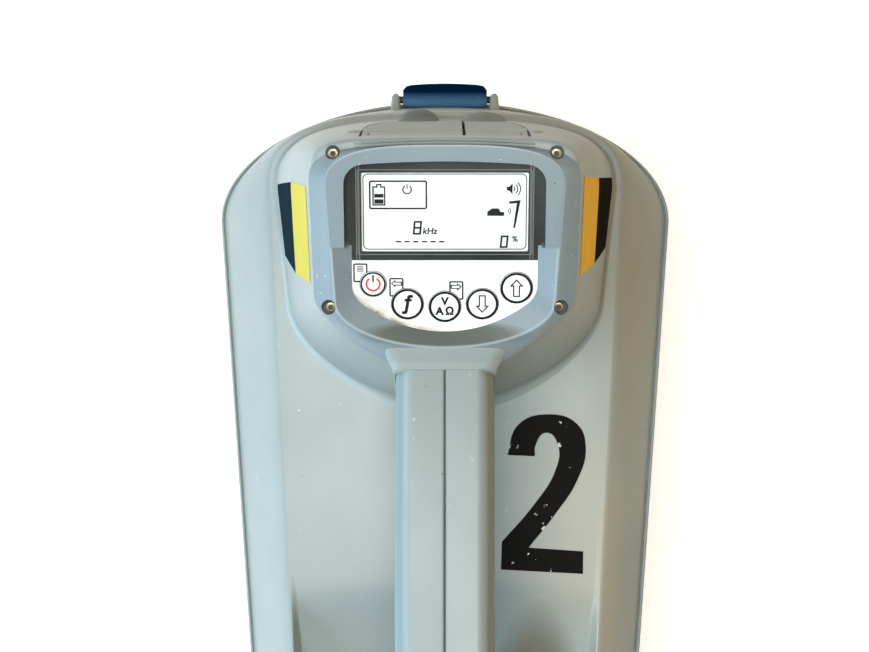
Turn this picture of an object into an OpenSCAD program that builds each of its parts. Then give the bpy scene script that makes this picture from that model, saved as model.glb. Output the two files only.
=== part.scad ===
// Transmitter of a cable-locating set: a moulded housing with a tilted display head and a carrying
// handle, hinged at its tail to an accessory tray and held shut at the front by a latch.
// Millimetres. X runs to the right, Y to the front (latch end), Z up from the floor.

/* [Housing] */
// Height of the parting line between tray and housing above the floor
rim_z = 105; // [95:1:120]
// Full width of the housing at its widest, near the front
body_w = 216; // [208:1:226]
// Full width of the housing where the tail begins to round
tail_w = 146; // [136:1:156]
// Height of the deck's edge above the parting line
deck_rise = 49; // [45:1:54]
// Wall thickness of the housing
wall = 2.8; // [2.2:0.1:3.4]
// Depth of the hand scoop in the deck
scoop_depth = 26; // [18:1:30]

/* [Head] */
// Full width of the head where it stands on the deck
head_w = 154; // [146:1:158]
// Full width of the display bezel
bezel_w = 112; // [104:1:116]
// Slope of the display bezel in degrees
bezel_tilt = 17.6; // [14:0.2:20]
// Height of the bezel's crest above the head
bezel_h = 9.6; // [8.4:0.2:12]

/* [Display and keys] */
// Length of the display window up the slope
window_l = 40.6; // [39:0.2:41.4]
// Distance a key moves when pressed
key_travel = 0.8; // [0.4:0.1:1]

/* [Handle] */
// Width of the handle
handle_w = 42; // [38:0.5:46]
// Height of the handle's section
handle_h = 36; // [32:0.5:40]
// Wall thickness of the two handle halves
handle_wall = 2.6; // [2:0.1:3.4]

/* [Latch and hinge] */
// Width of the latch
latch_w = 40; // [34:1:44]
// Length of the latch below its pin
latch_drop = 60; // [52:1:66]
// Diameter of the latch pin
latch_pin_d = 3.5; // [2.5:0.1:4]
// Diameter of the tail hinge's pin
hinge_pin_d = 4; // [3:0.1:5]
// Diameter of the tail hinge's knuckles
knuckle_d = 11; // [9:0.5:11]

/* [Socket flaps] */
// Width of the two flaps together
flaps_w = 72; // [66:1:76]
// Height of the flaps
flap_h = 64; // [58:1:66]
// Diameter of the output socket
output_d = 22; // [18:0.5:26]
// Diameter of the power socket
power_d = 13; // [11:0.5:16]

/* [Tray and batteries] */
// Wall thickness of the tray
tray_wall = 3; // [2.4:0.1:4]
// Height of the rubber feet
foot_h = 4; // [3:0.5:6]
// Diameter of the rubber feet
foot_d = 18; // [14:1:22]
// Diameter of one battery cell
cell_d = 33.2; // [31:0.2:34.2]
// Length of one battery cell
cell_l = 61; // [58:0.5:61.5]

/* [Fits] */
// Clearance between bodies that pass each other
gap = 0.3; // [0.3:0.05:0.5]
// Radial clearance of a pin in its bore
fit = 0.05; // [0.02:0.01:0.1]

/* [Hidden] */
$fn = 48;

// Names of the sub-parts, each with one module below

// Name of the sub-part to draw, or "all"

// Points along one front or rear curve and along one side of an outline
arc_n = 9;
side_n = 7;

// An outline is a list: half width, start, depth and power of the front curve, then of the rear
rim = [body_w / 2, 250, 57.5, 2, tail_w / 2, -262, 50, 2.6];
deck_half = max(body_w / 2 - 26.5, head_w / 2 + 4.5);
deck = [deck_half, 262, 36, 2.9, tail_w / 2 - 17, -250, 44, 2.4];
head = [head_w / 2, 262, 32, 2.8, head_w / 2 - 10, 210, 46, 1.7];
top = [bezel_w / 2, 258, 20.5, 5, bezel_w / 2 - 1, 212, 23, 2.05];
crest = [bezel_w / 2 - 8.8, 258, 15.5, 5, bezel_w / 2 - 9.8, 212, 18.6, 2.05];

// Heights
deck_z = rim_z + deck_rise;
head_z = deck_z + 8;
tray_top = rim_z - gap;
pan_z = rim_z + 0.6;
pan_t = 2.6;
ledge_z = rim_z + 4;

// Centre of the bezel and the height of the head's top plane
head_y = 233;
head_top = rim_z + 137.7;
rim_in = 9;

// Levels above the head's top plane, measured square to it
seal_t = 1;
border_w = 2.6;
screw_seat = 3.4;
face_top = 4.5;
key_floor = 3.5;
board_top = -4;
board_t = 1.6;

// Window, keypad and lower end of the hood on the bezel, measured from its centre
window_w = bezel_w - 31;
win_top = 35.7;
win_low = win_top - window_l;
pad_w = window_w - 3.6;
pad_corner = -22;
pad_low = -37.3;
pad_sag = pad_corner - pad_low;
pad_r = (pad_w * pad_w / 4 + pad_sag * pad_sag) / (2 * pad_sag);
hood_low = 2.5;
flare_x = (bezel_w - 20) / window_w;
flare_y = 1.1;
lcd_w = window_w - 12;
lcd_l = 32;
lcd_y = 14.2;

// Key centres and radii: power, frequency, measure, down, up
key_in = pad_w * 0.203;
key_out = pad_w * 0.388;
keys = [[-key_out, -15.3], [-key_in, -24], [0, -25.2], [key_in, -24], [key_out, -17]];
key_r = pad_w * [0.0705, 0.0865, 0.0865, 0.0865, 0.0865];
stem_r = 3;
screw_in = 8;
screw_at = [for (s = [-1, 1]) each [[s * (bezel_w / 2 - screw_in - 2), 41.6],
  [s * (bezel_w / 2 - screw_in), -25.6]]];

// Control board behind the bezel and the posts that hold it
board_half = bezel_w / 2 - 12;
board_front = 30;
board_rear = -31;
post_in = 4;
post_at = [for (s = [-1, 1], y = [27, -12]) [s * (board_half - post_in), y]];

// Handle path: start on the head's rear face, first slope, two bends
grip_y = 184;
grip_z = rim_z + 108;
grip_slope = 20;
grip_r = 300;
grip_start = 3.2;
bend_y = -185;
bend_r = 70;
bend_a = 80;
level_z = grip_z + grip_r * (1 - cos(grip_slope));
heel_y = bend_y - bend_r * sin(bend_a);
heel_z = level_z - bend_r * (1 - cos(bend_a));
heel_len = (heel_z - deck_z - 1.5) / sin(bend_a);
handle_screw_y = [120, -30, -160];

// Scoop: a saddle cut by a cylinder across the housing
scoop_y = -15;
scoop_half = 88;
scoop_side = 4;
scoop_r = (scoop_half * scoop_half + scoop_depth * scoop_depth) / (2 * scoop_depth);

// Half width of the deck at a place along its straight side
function deck_at(y) = mix(deck[0], deck[4], (deck[1] - y) / (deck[1] - deck[5]));

// Latch and its ears
latch_y = rim[1] + rim[2];
lip_l = 12.5;
latch_z = rim_z + 15;
barrel_r = latch_pin_d / 2 + 2.05;
ear_t = 3.8;
ear_x = latch_w / 2 + 1.6;
ear_r = latch_pin_d / 2 + 1.3;
ear_root = latch_y - 8;

// Tail hinge
hinge_y = rim[5] - rim[6] - 8 + knuckle_d / 2;
hinge_z = rim_z + 1;
knuckle_x = 17;
knuckle_l = 12;

// Frame of the flaps on the head's front face
flap_y = 287.6;
flap_z = rim_z + 95;
flap_lean = 9.5;
flap_top = 33;
flap_low = flap_top - flap_h;
flap_split = 8;
flap_t = 3.8;
tab_l = 7;
hinge_n = -1;
flap_r = 2.2;
flap_pin_r = 1;
pocket_n = -17;
output_at = [-13, 1];
power_at = [22, 1];

// Battery well
well_w = 2 * cell_l + 12;
well_l = 4 * cell_d + 11;
well_y = 8;
well_t = 3;
case_h = cell_d + 4;
well_low = pan_z - case_h - 6;

// Outline helpers
function grow(o, d) = [o[0] + d, o[1], o[2] + d, o[3], o[4] + d, o[5], o[6] + d, o[7]];
function mix(a, b, t) = a * (1 - t) + b * t;

// Right half of an outline, from the front centre to the rear centre
function half(o) = concat(
  [for (i = [0:arc_n]) let (a = 90 - 90 * i / arc_n)
    [o[0] * pow(cos(a), 2 / o[3]), o[1] + o[2] * pow(sin(a), 2 / o[3])]],
  [for (i = [1:side_n - 1]) let (t = i / side_n)
    [o[0] + (o[4] - o[0]) * t, o[1] + (o[5] - o[1]) * t]],
  [for (i = [0:arc_n]) let (a = 90 * i / arc_n)
    [o[4] * pow(cos(a), 2 / o[7]), o[5] - o[6] * pow(sin(a), 2 / o[7])]]);

// Closes a right half over the centre line
function close(h) = concat(h, [for (i = [len(h) - 2:-1:1]) [-h[i][0], h[i][1]]]);
function loop(o) = close(half(o));

// Height of the head's top plane, and rings of points at a height
function top_z(y) = head_top + (y - head_y) * tan(bezel_tilt);
function flat(o, z) = [for (p = loop(o)) [p[0], p[1], z]];
function sloped(o, d) = [for (p = loop(o)) [p[0], p[1], top_z(p[1]) + d]];
function rising(t, d) = [for (p = loop(grow(mix(head, top, t), d)))
  [p[0], p[1], mix(head_z, top_z(p[1]) - 2.5, t)]];
function on_plate(o, w) = [for (p = loop(o)) [p[0], (p[1] - head_y) / cos(bezel_tilt), w]];
function lift(pts, w) = [for (p = pts) [p[0], p[1], w]];

// Opening in the bezel for the window and the keypad, grown by d
function opening(d) = let (r = 6, yc = pad_low + pad_r, a0 = asin(pad_w / 2 / pad_r)) close(concat(
  [[0, win_top + d]],
  [for (a = [90:-15:0])
    [window_w / 2 - r + (r + d) * cos(a), win_top - r + (r + d) * sin(a)]],
  [[window_w / 2 + d, win_low]],
  [for (i = [0:8]) let (a = a0 * (1 - i / 8))
    [(pad_r + d) * sin(a), yc - (pad_r + d) * cos(a)]]));

// Closed skin over a stack of rings; a ring of rings has no caps
module skin(rings, ring = false) {
  n = len(rings[0]);
  m = len(rings);
  last = ring ? m - 1 : m - 2;
  walls = [for (k = [0:last], i = [0:n - 1])
    let (j = (i + 1) % n, a = k * n, b = ((k + 1) % m) * n)
    each [[a + i, a + j, b + j], [a + i, b + j, b + i]]];
  caps = [[for (i = [n - 1:-1:0]) i], [for (i = [0:n - 1]) (m - 1) * n + i]];
  polyhedron([for (r = rings) each r], ring ? walls : concat(walls, caps));
}

// Frames: the bezel's slope, the front face of the head, a rod along X
module on_head() {
  translate([0, head_y, head_top]) rotate([bezel_tilt, 0, 0]) children();
}

module on_front() {
  translate([0, flap_y, flap_z]) rotate([flap_lean - 90, 0, 0]) scale([1, -1, 1]) children();
}

module rod_x(r, l) {
  rotate([0, 90, 0]) cylinder(r = r, h = l, center = true);
}

// Rings of the housing's outer face from the parting line to the head's top
lower = grow(rim, -4);
outer_rings = [
  flat(rim, rim_z),
  flat(rim, rim_z + 7),
  flat(grow(rim, -0.8), rim_z + 8.2),
  flat(grow(rim, -2.4), rim_z + 8.2),
  flat(grow(rim, -3.2), rim_z + 7.4),
  flat(lower, rim_z + 9),
  flat(mix(lower, deck, 0.70), rim_z + deck_rise * 0.78),
  flat(mix(lower, deck, 0.86), rim_z + deck_rise * 0.92),
  flat(deck, deck_z),
  flat(grow(head, 3), deck_z + 3),
  flat(grow(head, 1), deck_z + 4.5),
  rising(0, 0),
  rising(0.35, 1.1),
  rising(0.7, 0.9),
  rising(1, 0),
  sloped(grow(top, -1), -0.6),
  sloped(grow(top, -2.2), 0)
];

// Rings of its inner face, from the opening in the head's top back down
inner_rings = [
  sloped(grow(top, -rim_in), 0),
  sloped(grow(top, -rim_in), -10),
  sloped(grow(top, -wall - 0.6), -13),
  rising(0.5, 0.8 - wall),
  flat(grow(head, -wall), deck_z + 4),
  flat(grow(head, -wall), deck_z + 3 - wall),
  flat(grow(deck, -wall * 0.6), deck_z - wall),
  flat(grow(mix(lower, deck, 0.70), -wall * 0.95), rim_z + deck_rise * 0.78 - wall * 0.55),
  flat(grow(rim, -4.7 - wall), rim_z + 8.6),
  flat(grow(rim, -4.7 - wall), ledge_z),
  flat(grow(rim, -3.2), ledge_z),
  flat(grow(rim, -3.2), rim_z)
];

// Outline of the two flaps together, grown by d
module flaps_outline(d) {
  r = 18;
  w = flaps_w / 2 + d;
  translate([-w, flap_low + r]) square([2 * w, flap_h - r]);
  translate([-w + r + d, flap_low - d]) square([2 * (w - r - d), flap_h]);
  for (s = [-1, 1]) translate([s * (w - r - d), flap_low + r]) circle(r + d);
}

// Solid of the housing's outer face, used to trim what must end flush with it
module outer_solid() {
  skin(outer_rings);
}

// Prism of the handle's section with the corners rounded, grown by d
module handle_prism(d, l) {
  r = 7;
  w = handle_w / 2 + d;
  h = handle_h / 2 + d;
  linear_extrude(l) {
    square([2 * w - 2 * r, 2 * h], center = true);
    square([2 * w, 2 * h - 2 * r], center = true);
    for (x = [-1, 1], y = [-1, 1]) translate([x * (w - r), y * (h - r)]) circle(r);
  }
}

// Frames at the two ends of the handle, with Z pointing along the handle
module at_grip() {
  translate([0, grip_y, grip_z]) rotate([90 - grip_slope, 0, 0]) children();
}

module at_heel() {
  translate([0, heel_y, heel_z]) rotate([90 + bend_a, 0, 0]) children();
}

// Liner of the pocket behind the flaps, with the floor that carries the sockets
module flap_pocket() {
  difference() {
    intersection() {
      outer_solid();
      on_front() translate([0, 0, pocket_n - 3]) linear_extrude(45) flaps_outline(3.2);
    }
    flap_space();
    socket_holes();
  }
}

module flap_space() {
  on_front() {
    translate([0, 0, pocket_n]) linear_extrude(60) flaps_outline(0.5);
    translate([0, flap_top, hinge_n]) rod_x(flap_r + 0.4, flaps_w + 1);
  }
}

module socket_holes() {
  on_front() {
    translate([output_at[0], output_at[1], pocket_n - 8]) cylinder(r = output_d / 2 - 2, h = 20);
    translate([power_at[0], power_at[1], pocket_n - 8]) cylinder(r = power_d / 2 - 1.5, h = 20);
  }
}

// Saddle of the hand scoop between side walls that follow the deck's edges, grown by d
module scoop(d) {
  y0 = scoop_y - 130;
  y1 = scoop_y + 130;
  a = deck_at(y0) - scoop_side + d;
  b = deck_at(y1) - scoop_side + d;
  intersection() {
    translate([0, scoop_y, deck_z - scoop_depth + scoop_r]) rod_x(scoop_r + d, body_w);
    translate([0, 0, deck_z - 60]) linear_extrude(80)
      polygon([[-a, y0], [a, y0], [b, y1], [-b, y1]]);
  }
}

// Ear that carries one end of the latch pin
module latch_ear(x) {
  translate([x, 0, 0]) rotate([90, 0, 90]) linear_extrude(ear_t) {
    translate([latch_y, latch_z]) circle(ear_r);
    polygon([[latch_y, latch_z - ear_r], [latch_y, latch_z + ear_r],
      [ear_root, latch_z + 3 * ear_r], [ear_root, latch_z - 1.5 * ear_r]]);
  }
}

// Moulded upper housing with head, handle sockets, latch ears and tail knuckle
module upper_shell() {
  color("lightgray")
  difference() {
    union() {
      difference() {
        skin(concat(outer_rings, inner_rings), true);
        scoop(0);
        flap_space();
      }
      intersection() {
        difference() {
          scoop(wall);
          scoop(0);
        }
        translate([-100, scoop_y - 120, deck_z - 60]) cube([200, 240, 60]);
      }
      flap_pocket();
      on_front() for (s = [-1, 1]) translate([s * (flaps_w / 2 + 2.2), flap_top, hinge_n])
        rod_x(flap_r, 3.4);
      at_grip() translate([0, 0, -6]) handle_prism(2.4, 14);
      at_heel() translate([0, 0, heel_len - 9]) handle_prism(2.4, 11);
      for (x = [ear_x, -ear_x - ear_t]) latch_ear(x);
      translate([0, hinge_y, hinge_z]) rod_x(knuckle_d / 2, 2 * knuckle_x);
    }
    at_grip() translate([0, 0, grip_start - 0.2]) handle_prism(gap, 20);
    at_heel() translate([0, 0, heel_len - 20]) handle_prism(gap, 20.2);
    on_head() translate([0, 0, 0.02]) linear_extrude(20)
      polygon([for (p = on_plate(grow(top, gap), 0)) [p[0], p[1]]]);
    at_heel() for (x = [-1, 1])
      translate([x * (handle_w / 2 - 7.4), 0, heel_len - 1]) cylinder(r = 1.7, h = 9);
    on_front() translate([0, flap_top, hinge_n]) rod_x(flap_pin_r, flaps_w + 10);
    translate([0, latch_y, latch_z]) rod_x(latch_pin_d / 2, 80);
    translate([0, hinge_y, hinge_z]) rod_x(hinge_pin_d / 2 + fit, 90);
    for (s = [-1, 1]) translate([s * (knuckle_x + knuckle_l / 2 + 0.3), hinge_y, hinge_z])
      rod_x(knuckle_d / 2 + 0.6, knuckle_l + 0.8);
    on_head() for (p = screw_at) translate([p[0], p[1], -9]) cylinder(r = 1.5, h = 12);
    for (p = pan_screw_at) translate([p[0], p[1], rim_z]) cylinder(r = 1.25, h = 7.4);
  }
}

// Screw places round the pan: points of an outline near the wall
pan_ring = loop(grow(rim, -5.6));
pan_screw_at = [for (i = [6, 12, 16, 20, 28, 32, 36, 44]) pan_ring[i]];

// Flat pan that closes the housing from below, with the battery well and board posts
module base_pan() {
  color("dimgray")
  difference() {
    union() {
      translate([0, 0, pan_z]) linear_extrude(pan_t) polygon(loop(grow(rim, -3.5)));
      translate([-well_w / 2 - well_t, well_y - well_l / 2 - well_t, well_low])
        cube([well_w + 2 * well_t, well_l + 2 * well_t, pan_z - well_low + 1]);
      for (x = [-58, 58], y = [172, 258]) translate([x, y, pan_z]) cylinder(r = 3.6, h = 14);
    }
    translate([-well_w / 2, well_y - well_l / 2, well_low - 1])
      cube([well_w, well_l, pan_z - well_low + 1]);
    for (p = pan_screw_at) translate([p[0], p[1], pan_z - 1]) {
      cylinder(r = 1.35, h = 6);
      cylinder(r = 2.3, h = 2.6);
    }
    for (s = [-1, 1]) translate([s * (well_w / 2 + well_t / 2), well_y, well_low - 1])
      cylinder(r = 1, h = 12);
  }
}

// Flat seal between the pan and the housing's ledge
module pan_seal() {
  color("black")
  translate([0, 0, pan_z + pan_t])
  linear_extrude(ledge_z - pan_z - pan_t)
  difference() {
    polygon(loop(grow(rim, -3.5)));
    polygon(loop(grow(rim, -4.5 - wall)));
    for (p = pan_screw_at) translate(p) circle(1.4);
  }
}

// Countersunk screws that hold the pan
module pan_screws() {
  color("silver")
  for (p = pan_screw_at) translate([p[0], p[1], pan_z]) {
    cylinder(r = 2.1, h = 1.5);
    cylinder(r = 1.2, h = 6.6);
  }
}

// Sloped recess round the keypad, which ends below the hood
module key_recess() {
  wide = [for (p = opening(0)) [p[0] * flare_x, p[1] < 0 ? p[1] * flare_y : p[1]]];
  intersection() {
    skin([lift(opening(0), face_top), lift(wide, bezel_h + 0.01), lift(wide, bezel_h + 1)]);
    translate([-bezel_w, hood_low - bezel_w, 0]) cube([2 * bezel_w, bezel_w, 2 * bezel_h]);
  }
}

// Tilted bezel: a border that rises to a crest, the hood round the window and the key recess
module display_bezel() {
  color("lightsteelblue")
  on_head() difference() {
    union() {
      skin([
        on_plate(grow(top, -1), seal_t),
        on_plate(top, seal_t + 0.8),
        on_plate(top, border_w),
        on_plate(mix(top, crest, 0.25), mix(border_w, bezel_h, 0.4)),
        on_plate(mix(top, crest, 0.55), mix(border_w, bezel_h, 0.74)),
        on_plate(mix(top, crest, 0.85), mix(border_w, bezel_h, 0.95)),
        on_plate(crest, bezel_h)
      ]);
      for (p = post_at) translate([p[0], p[1], board_top]) cylinder(r = 2.5, h = 6);
    }
    key_recess();
    translate([0, 0, key_floor]) linear_extrude(bezel_h) polygon(opening(0.1));
    translate([0, 0, face_top - 2]) linear_extrude(4) window_shape(0.1);
    translate([-lcd_w / 2 - 2.3, lcd_y - lcd_l / 2 - 1.8, 0])
      cube([lcd_w + 4.6, lcd_l + 3.6, 5]);
    for (p = keys) translate([p[0], p[1], 0]) cylinder(r = stem_r + gap, h = 6);
    for (p = screw_at) translate([p[0], p[1], 0]) {
      cylinder(r = 1.6, h = bezel_h);
      translate([0, 0, screw_seat]) cylinder(r = 3.1, h = bezel_h);
    }
  }
}

// Outline of the window's glazing, grown by d
module window_shape(d) {
  intersection() {
    polygon(opening(d));
    translate([-window_w, win_low - d]) square(2 * window_w);
  }
}

module bezel_seal() {
  color("black")
  on_head() translate([0, 0, 0.03]) linear_extrude(seal_t - 0.03) difference() {
    polygon([for (p = on_plate(grow(top, -1.2), 0)) [p[0], p[1]]]);
    polygon([for (p = on_plate(grow(top, -rim_in), 0)) [p[0], p[1]]]);
    for (p = screw_at) translate(p) circle(1.6);
  }
}

module bezel_screws() {
  color("darkgoldenrod")
  on_head() for (p = screw_at) translate([p[0], p[1], 0]) {
    translate([0, 0, screw_seat]) difference() {
      cylinder(r = 2.4, h = 2);
      translate([0, 0, 0.8]) cylinder(r = 1.2, h = 3, $fn = 6);
    }
    translate([0, 0, -8]) cylinder(r = 1.45, h = screw_seat + 8.2);
  }
}

module display_window() {
  color("black")
  on_head() translate([0, 0, face_top - 2]) linear_extrude(2) window_shape(0);
}

module lcd_panel() {
  color("whitesmoke")
  on_head() translate([-lcd_w / 2 - 2, lcd_y - lcd_l / 2 - 1.5, 0])
    cube([lcd_w + 4, lcd_l + 3, face_top - 2]);
}

module lcd_frame() {
  color("gray")
  on_head() translate([-lcd_w / 2 - 1, lcd_y - lcd_l / 2 - 1, board_top])
    cube([lcd_w + 2, lcd_l + 2, -board_top]);
}

// Printed face behind the keys
module keypad_overlay() {
  color("white")
  on_head() translate([0, 0, key_floor]) linear_extrude(face_top - key_floor) difference() {
    intersection() {
      polygon(opening(0));
      translate([-window_w, win_low - 0.2 - 2 * window_w]) square(2 * window_w);
    }
    for (i = [0:4]) translate(keys[i]) circle(key_r[i] + gap);
  }
}

module control_board() {
  color("darkgreen")
  on_head() translate([0, 0, board_top - board_t]) linear_extrude(board_t)
    polygon(close([[0, board_front], [board_half - 3.5, board_front], [board_half, board_front - 10],
      [board_half, board_rear + 13], [board_half - 14, board_rear], [0, board_rear]]));
}

module dome_switches() {
  color("silver")
  on_head() for (p = keys) translate([p[0], p[1], board_top]) {
    cylinder(r = 4, h = 1.4);
    cylinder(r = 2.4, h = 2.45 + 0.8 - key_travel);
  }
}

module sounder() {
  color("black")
  on_head() translate([14, 8, board_top - board_t - 7]) difference() {
    cylinder(r = 10, h = 7);
    translate([0, 0, -1]) cylinder(r = 1.5, h = 3);
  }
}

// One key: a thin button on a stem that reaches down to its switch
module key(i) {
  on_head() translate([keys[i][0], keys[i][1], 0]) {
    low = key_floor + key_travel + 0.05;
    translate([0, 0, low]) cylinder(r = key_r[i], h = face_top + 0.35 - low);
    translate([0, 0, face_top + 0.35]) cylinder(r1 = key_r[i], r2 = key_r[i] - 0.5, h = 0.25);
    translate([0, 0, -0.7]) cylinder(r = stem_r, h = low + 1);
  }
}

module key_power() {
  color("whitesmoke") key(0);
}

module key_frequency() {
  color("whitesmoke") key(1);
}

module key_measure() {
  color("whitesmoke") key(2);
}

module key_down() {
  color("whitesmoke") key(3);
}

module key_up() {
  color("whitesmoke") key(4);
}

// Height of the handle's centre line where it has a slope, and at a place along it
function grip_at(a) = grip_z + grip_r * (cos(a) - cos(grip_slope));
function grip_over(y) = y < grip_y - grip_r * sin(grip_slope) ? level_z :
  grip_at(asin((y - grip_y) / grip_r + sin(grip_slope)));

// Stations along the handle: Y, Z and slope
first_slope = grip_slope - grip_start / grip_r * 180 / PI;
stations = concat(
  [for (i = [0:7]) let (a = first_slope * (1 - i / 7))
    [grip_y - grip_r * (sin(grip_slope) - sin(a)), grip_at(a), a]],
  [for (i = [1:3]) [mix(grip_y - grip_r * sin(grip_slope), bend_y, i / 4), level_z, 0]],
  [for (i = [0:10]) let (a = bend_a * i / 10)
    [bend_y - bend_r * sin(a), level_z - bend_r * (1 - cos(a)), -a]],
  [[heel_y - heel_len * cos(bend_a), heel_z - heel_len * sin(bend_a), -bend_a]]);

// Right half of the handle's section, inset by d, from the top seam to the bottom seam
function grip(d) = let (w = handle_w / 2, h = handle_h / 2, r = 7, g = gap / 2) concat(
  [[g, h - d]],
  [for (a = [90:-18:0]) [w - r + (r - d) * cos(a), h - r + (r - d) * sin(a)]],
  [for (a = [0:-18:-90]) [w - r + (r - d) * cos(a), -h + r + (r - d) * sin(a)]],
  [[g, -h + d]]);

// One hollow half of the handle, swept along the stations; side is 1 or -1
module handle_half(side) {
  outer = grip(0);
  inner = grip(handle_wall);
  k = len(outer);
  n = 2 * k;
  m = len(stations);
  ring = concat(outer, [for (i = [k - 1:-1:0]) inner[i]]);
  points = [for (s = stations, p = ring)
    [side * p[0], s[0] + p[1] * sin(s[2]), s[1] + p[1] * cos(s[2])]];
  walls = [for (q = [0:m - 2], i = [0:n - 1]) let (j = (i + 1) % n, a = q * n, b = (q + 1) * n)
    each [[a + i, a + j, b + j], [a + i, b + j, b + i]]];
  z = (m - 1) * n;
  ends = [for (i = [0:k - 2]) each [
    [i, n - 1 - i, i + 1], [i + 1, n - 1 - i, n - 2 - i],
    [z + i, z + i + 1, z + n - 1 - i], [z + i + 1, z + n - 2 - i, z + n - 1 - i]]];
  faces = concat(walls, ends);
  polyhedron(points, side > 0 ? faces : [for (f = faces) [f[2], f[1], f[0]]]);
}

// Half with its screw bosses
module handle_shell(side) {
  inside = handle_w / 2 - handle_wall + 0.6;
  difference() {
    union() {
      handle_half(side);
      for (y = handle_screw_y)
        translate([side * (gap / 2 + inside) / 2, y, grip_over(y)]) rod_x(5, inside - gap / 2);
      at_heel() translate([side * (handle_w / 2 - 7.4), 0, heel_len - 16])
        cylinder(r = 5.2, h = 15.8);
    }
    for (y = handle_screw_y) translate([0, y, grip_over(y)]) rod_x(1.65, handle_w - 8);
    if (side < 0) for (y = handle_screw_y) translate([-handle_w / 2, y, grip_over(y)]) {
      rod_x(3.4, 8);
      rod_x(1.65, 30);
    }
    at_heel() translate([side * (handle_w / 2 - 7.4), 0, heel_len - 14])
      cylinder(r = 1.65, h = 16);
  }
}

module handle_left() {
  color("silver") handle_shell(-1);
}

module handle_right() {
  color("silver") handle_shell(1);
}

// Cross screws through the halves and heel screws up from inside the housing
module handle_screws() {
  color("dimgray") {
    for (y = handle_screw_y) translate([-handle_w / 2, y, grip_over(y)]) {
      translate([2.75, 0, 0]) rod_x(3, 2.4);
      translate([handle_w / 2, 0, 0]) rod_x(1.6, handle_w - 8.6);
    }
    at_heel() for (x = [-1, 1]) translate([x * (handle_w / 2 - 7.4), 0, 0]) {
      translate([0, 0, heel_len - 12]) cylinder(r = 1.6, h = 18);
      translate([0, 0, heel_len + 1.5 + wall + 0.9]) cylinder(r = 3.2, h = 2);
    }
  }
}

// Round socket with a flange on the pocket's floor and a body behind it
module socket(at, d, t) {
  on_front() translate([at[0], at[1], pocket_n]) difference() {
    union() {
      cylinder(r = d / 2 + 1.6, h = 1.5);
      cylinder(r = d / 2, h = 10);
      translate([0, 0, -9]) cylinder(r = d / 2 - t - 0.1, h = 10);
    }
    translate([0, 0, 2]) cylinder(r = d / 2 - t - 0.5, h = 12);
  }
}

module output_socket() {
  color("black") socket(output_at, output_d, 2);
}

module power_socket() {
  color("black") socket(power_at, power_d, 1.5);
}

// Thumb lobe at the foot of a flap: a slice of a disc that stands out by h
module flap_tab(w, h) {
  r = (w * w / 4 + h * h) / (2 * h);
  translate([0, flap_low, 0]) rotate([-90, 0, 0]) linear_extrude(tab_l) intersection() {
    translate([0, r - h]) circle(r);
    translate([-w, -h]) square([2 * w, h + flap_t]);
  }
}

// Prism of one flap's outline, below the hinge barrel
module flap_prism(x0, x1) {
  translate([0, 0, -flap_t]) linear_extrude(40) intersection() {
    flaps_outline(0);
    translate([x0, flap_low - 1]) square([x1 - x0, flap_h - 1.1]);
  }
}

// One flap between two places across the head's front face
module flap(x0, x1, tab_x, tab_w, tab_h) {
  difference() {
    union() {
      intersection() {
        outer_solid();
        on_front() flap_prism(x0, x1);
      }
      on_front() {
        translate([(x0 + x1) / 2, flap_top, hinge_n]) rod_x(flap_r, x1 - x0);
        translate([x0, flap_top - 2.5, hinge_n - flap_r]) cube([x1 - x0, 2.5, flap_r]);
        intersection() {
          translate([tab_x, 0, 0]) flap_tab(tab_w, tab_h);
          flap_prism(x0, x1);
        }
      }
    }
    on_front() translate([0, flap_top, hinge_n]) rod_x(flap_pin_r + fit, 90);
  }
}

module output_flap() {
  color("silver") flap(-flaps_w / 2, flap_split - 0.4, -13, 19, 6);
}

module power_flap() {
  color("silver") flap(flap_split + 0.4, flaps_w / 2, 18.5, 20, 4.5);
}

// Pin of both flaps, held in the head at its two ends
module flap_pin() {
  color("silver")
  on_front() translate([0, flap_top, hinge_n]) rod_x(flap_pin_r, flaps_w + 7);
}

// Front latch: a barrel on the pin, a plate past the rim, and a finger lip
module latch() {
  low = latch_z - latch_drop;
  y0 = latch_y + 0.7;
  y1 = latch_y + barrel_r;
  color("royalblue")
  difference() {
    translate([-latch_w / 2, 0, 0]) rotate([90, 0, 90]) linear_extrude(latch_w) {
      translate([latch_y, latch_z]) circle(barrel_r);
      polygon([[y0, latch_z], [y0, low + 24], [y0 - 1, low + 20], [y0 - 1, low + 16],
        [y0, low + 12], [y0 + 1.6, low + 6], [y0 + 4.6, low + 1.6], [y0 + 8.8, low],
        [latch_y + lip_l, low + 0.6], [latch_y + lip_l, low + 2.6], [y1 + 5.4, low + 3.8],
        [y1 + 2.2, low + 7], [y1 + 0.5, low + 13], [y1, low + 20], [y1, latch_z]]);
    }
    translate([0, latch_y, latch_z]) rod_x(latch_pin_d / 2 + fit, latch_w + 2);
  }
}

module latch_pin() {
  color("silver")
  translate([0, latch_y, latch_z]) rod_x(latch_pin_d / 2, 2 * ear_x + 2 * ear_t);
}

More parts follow.
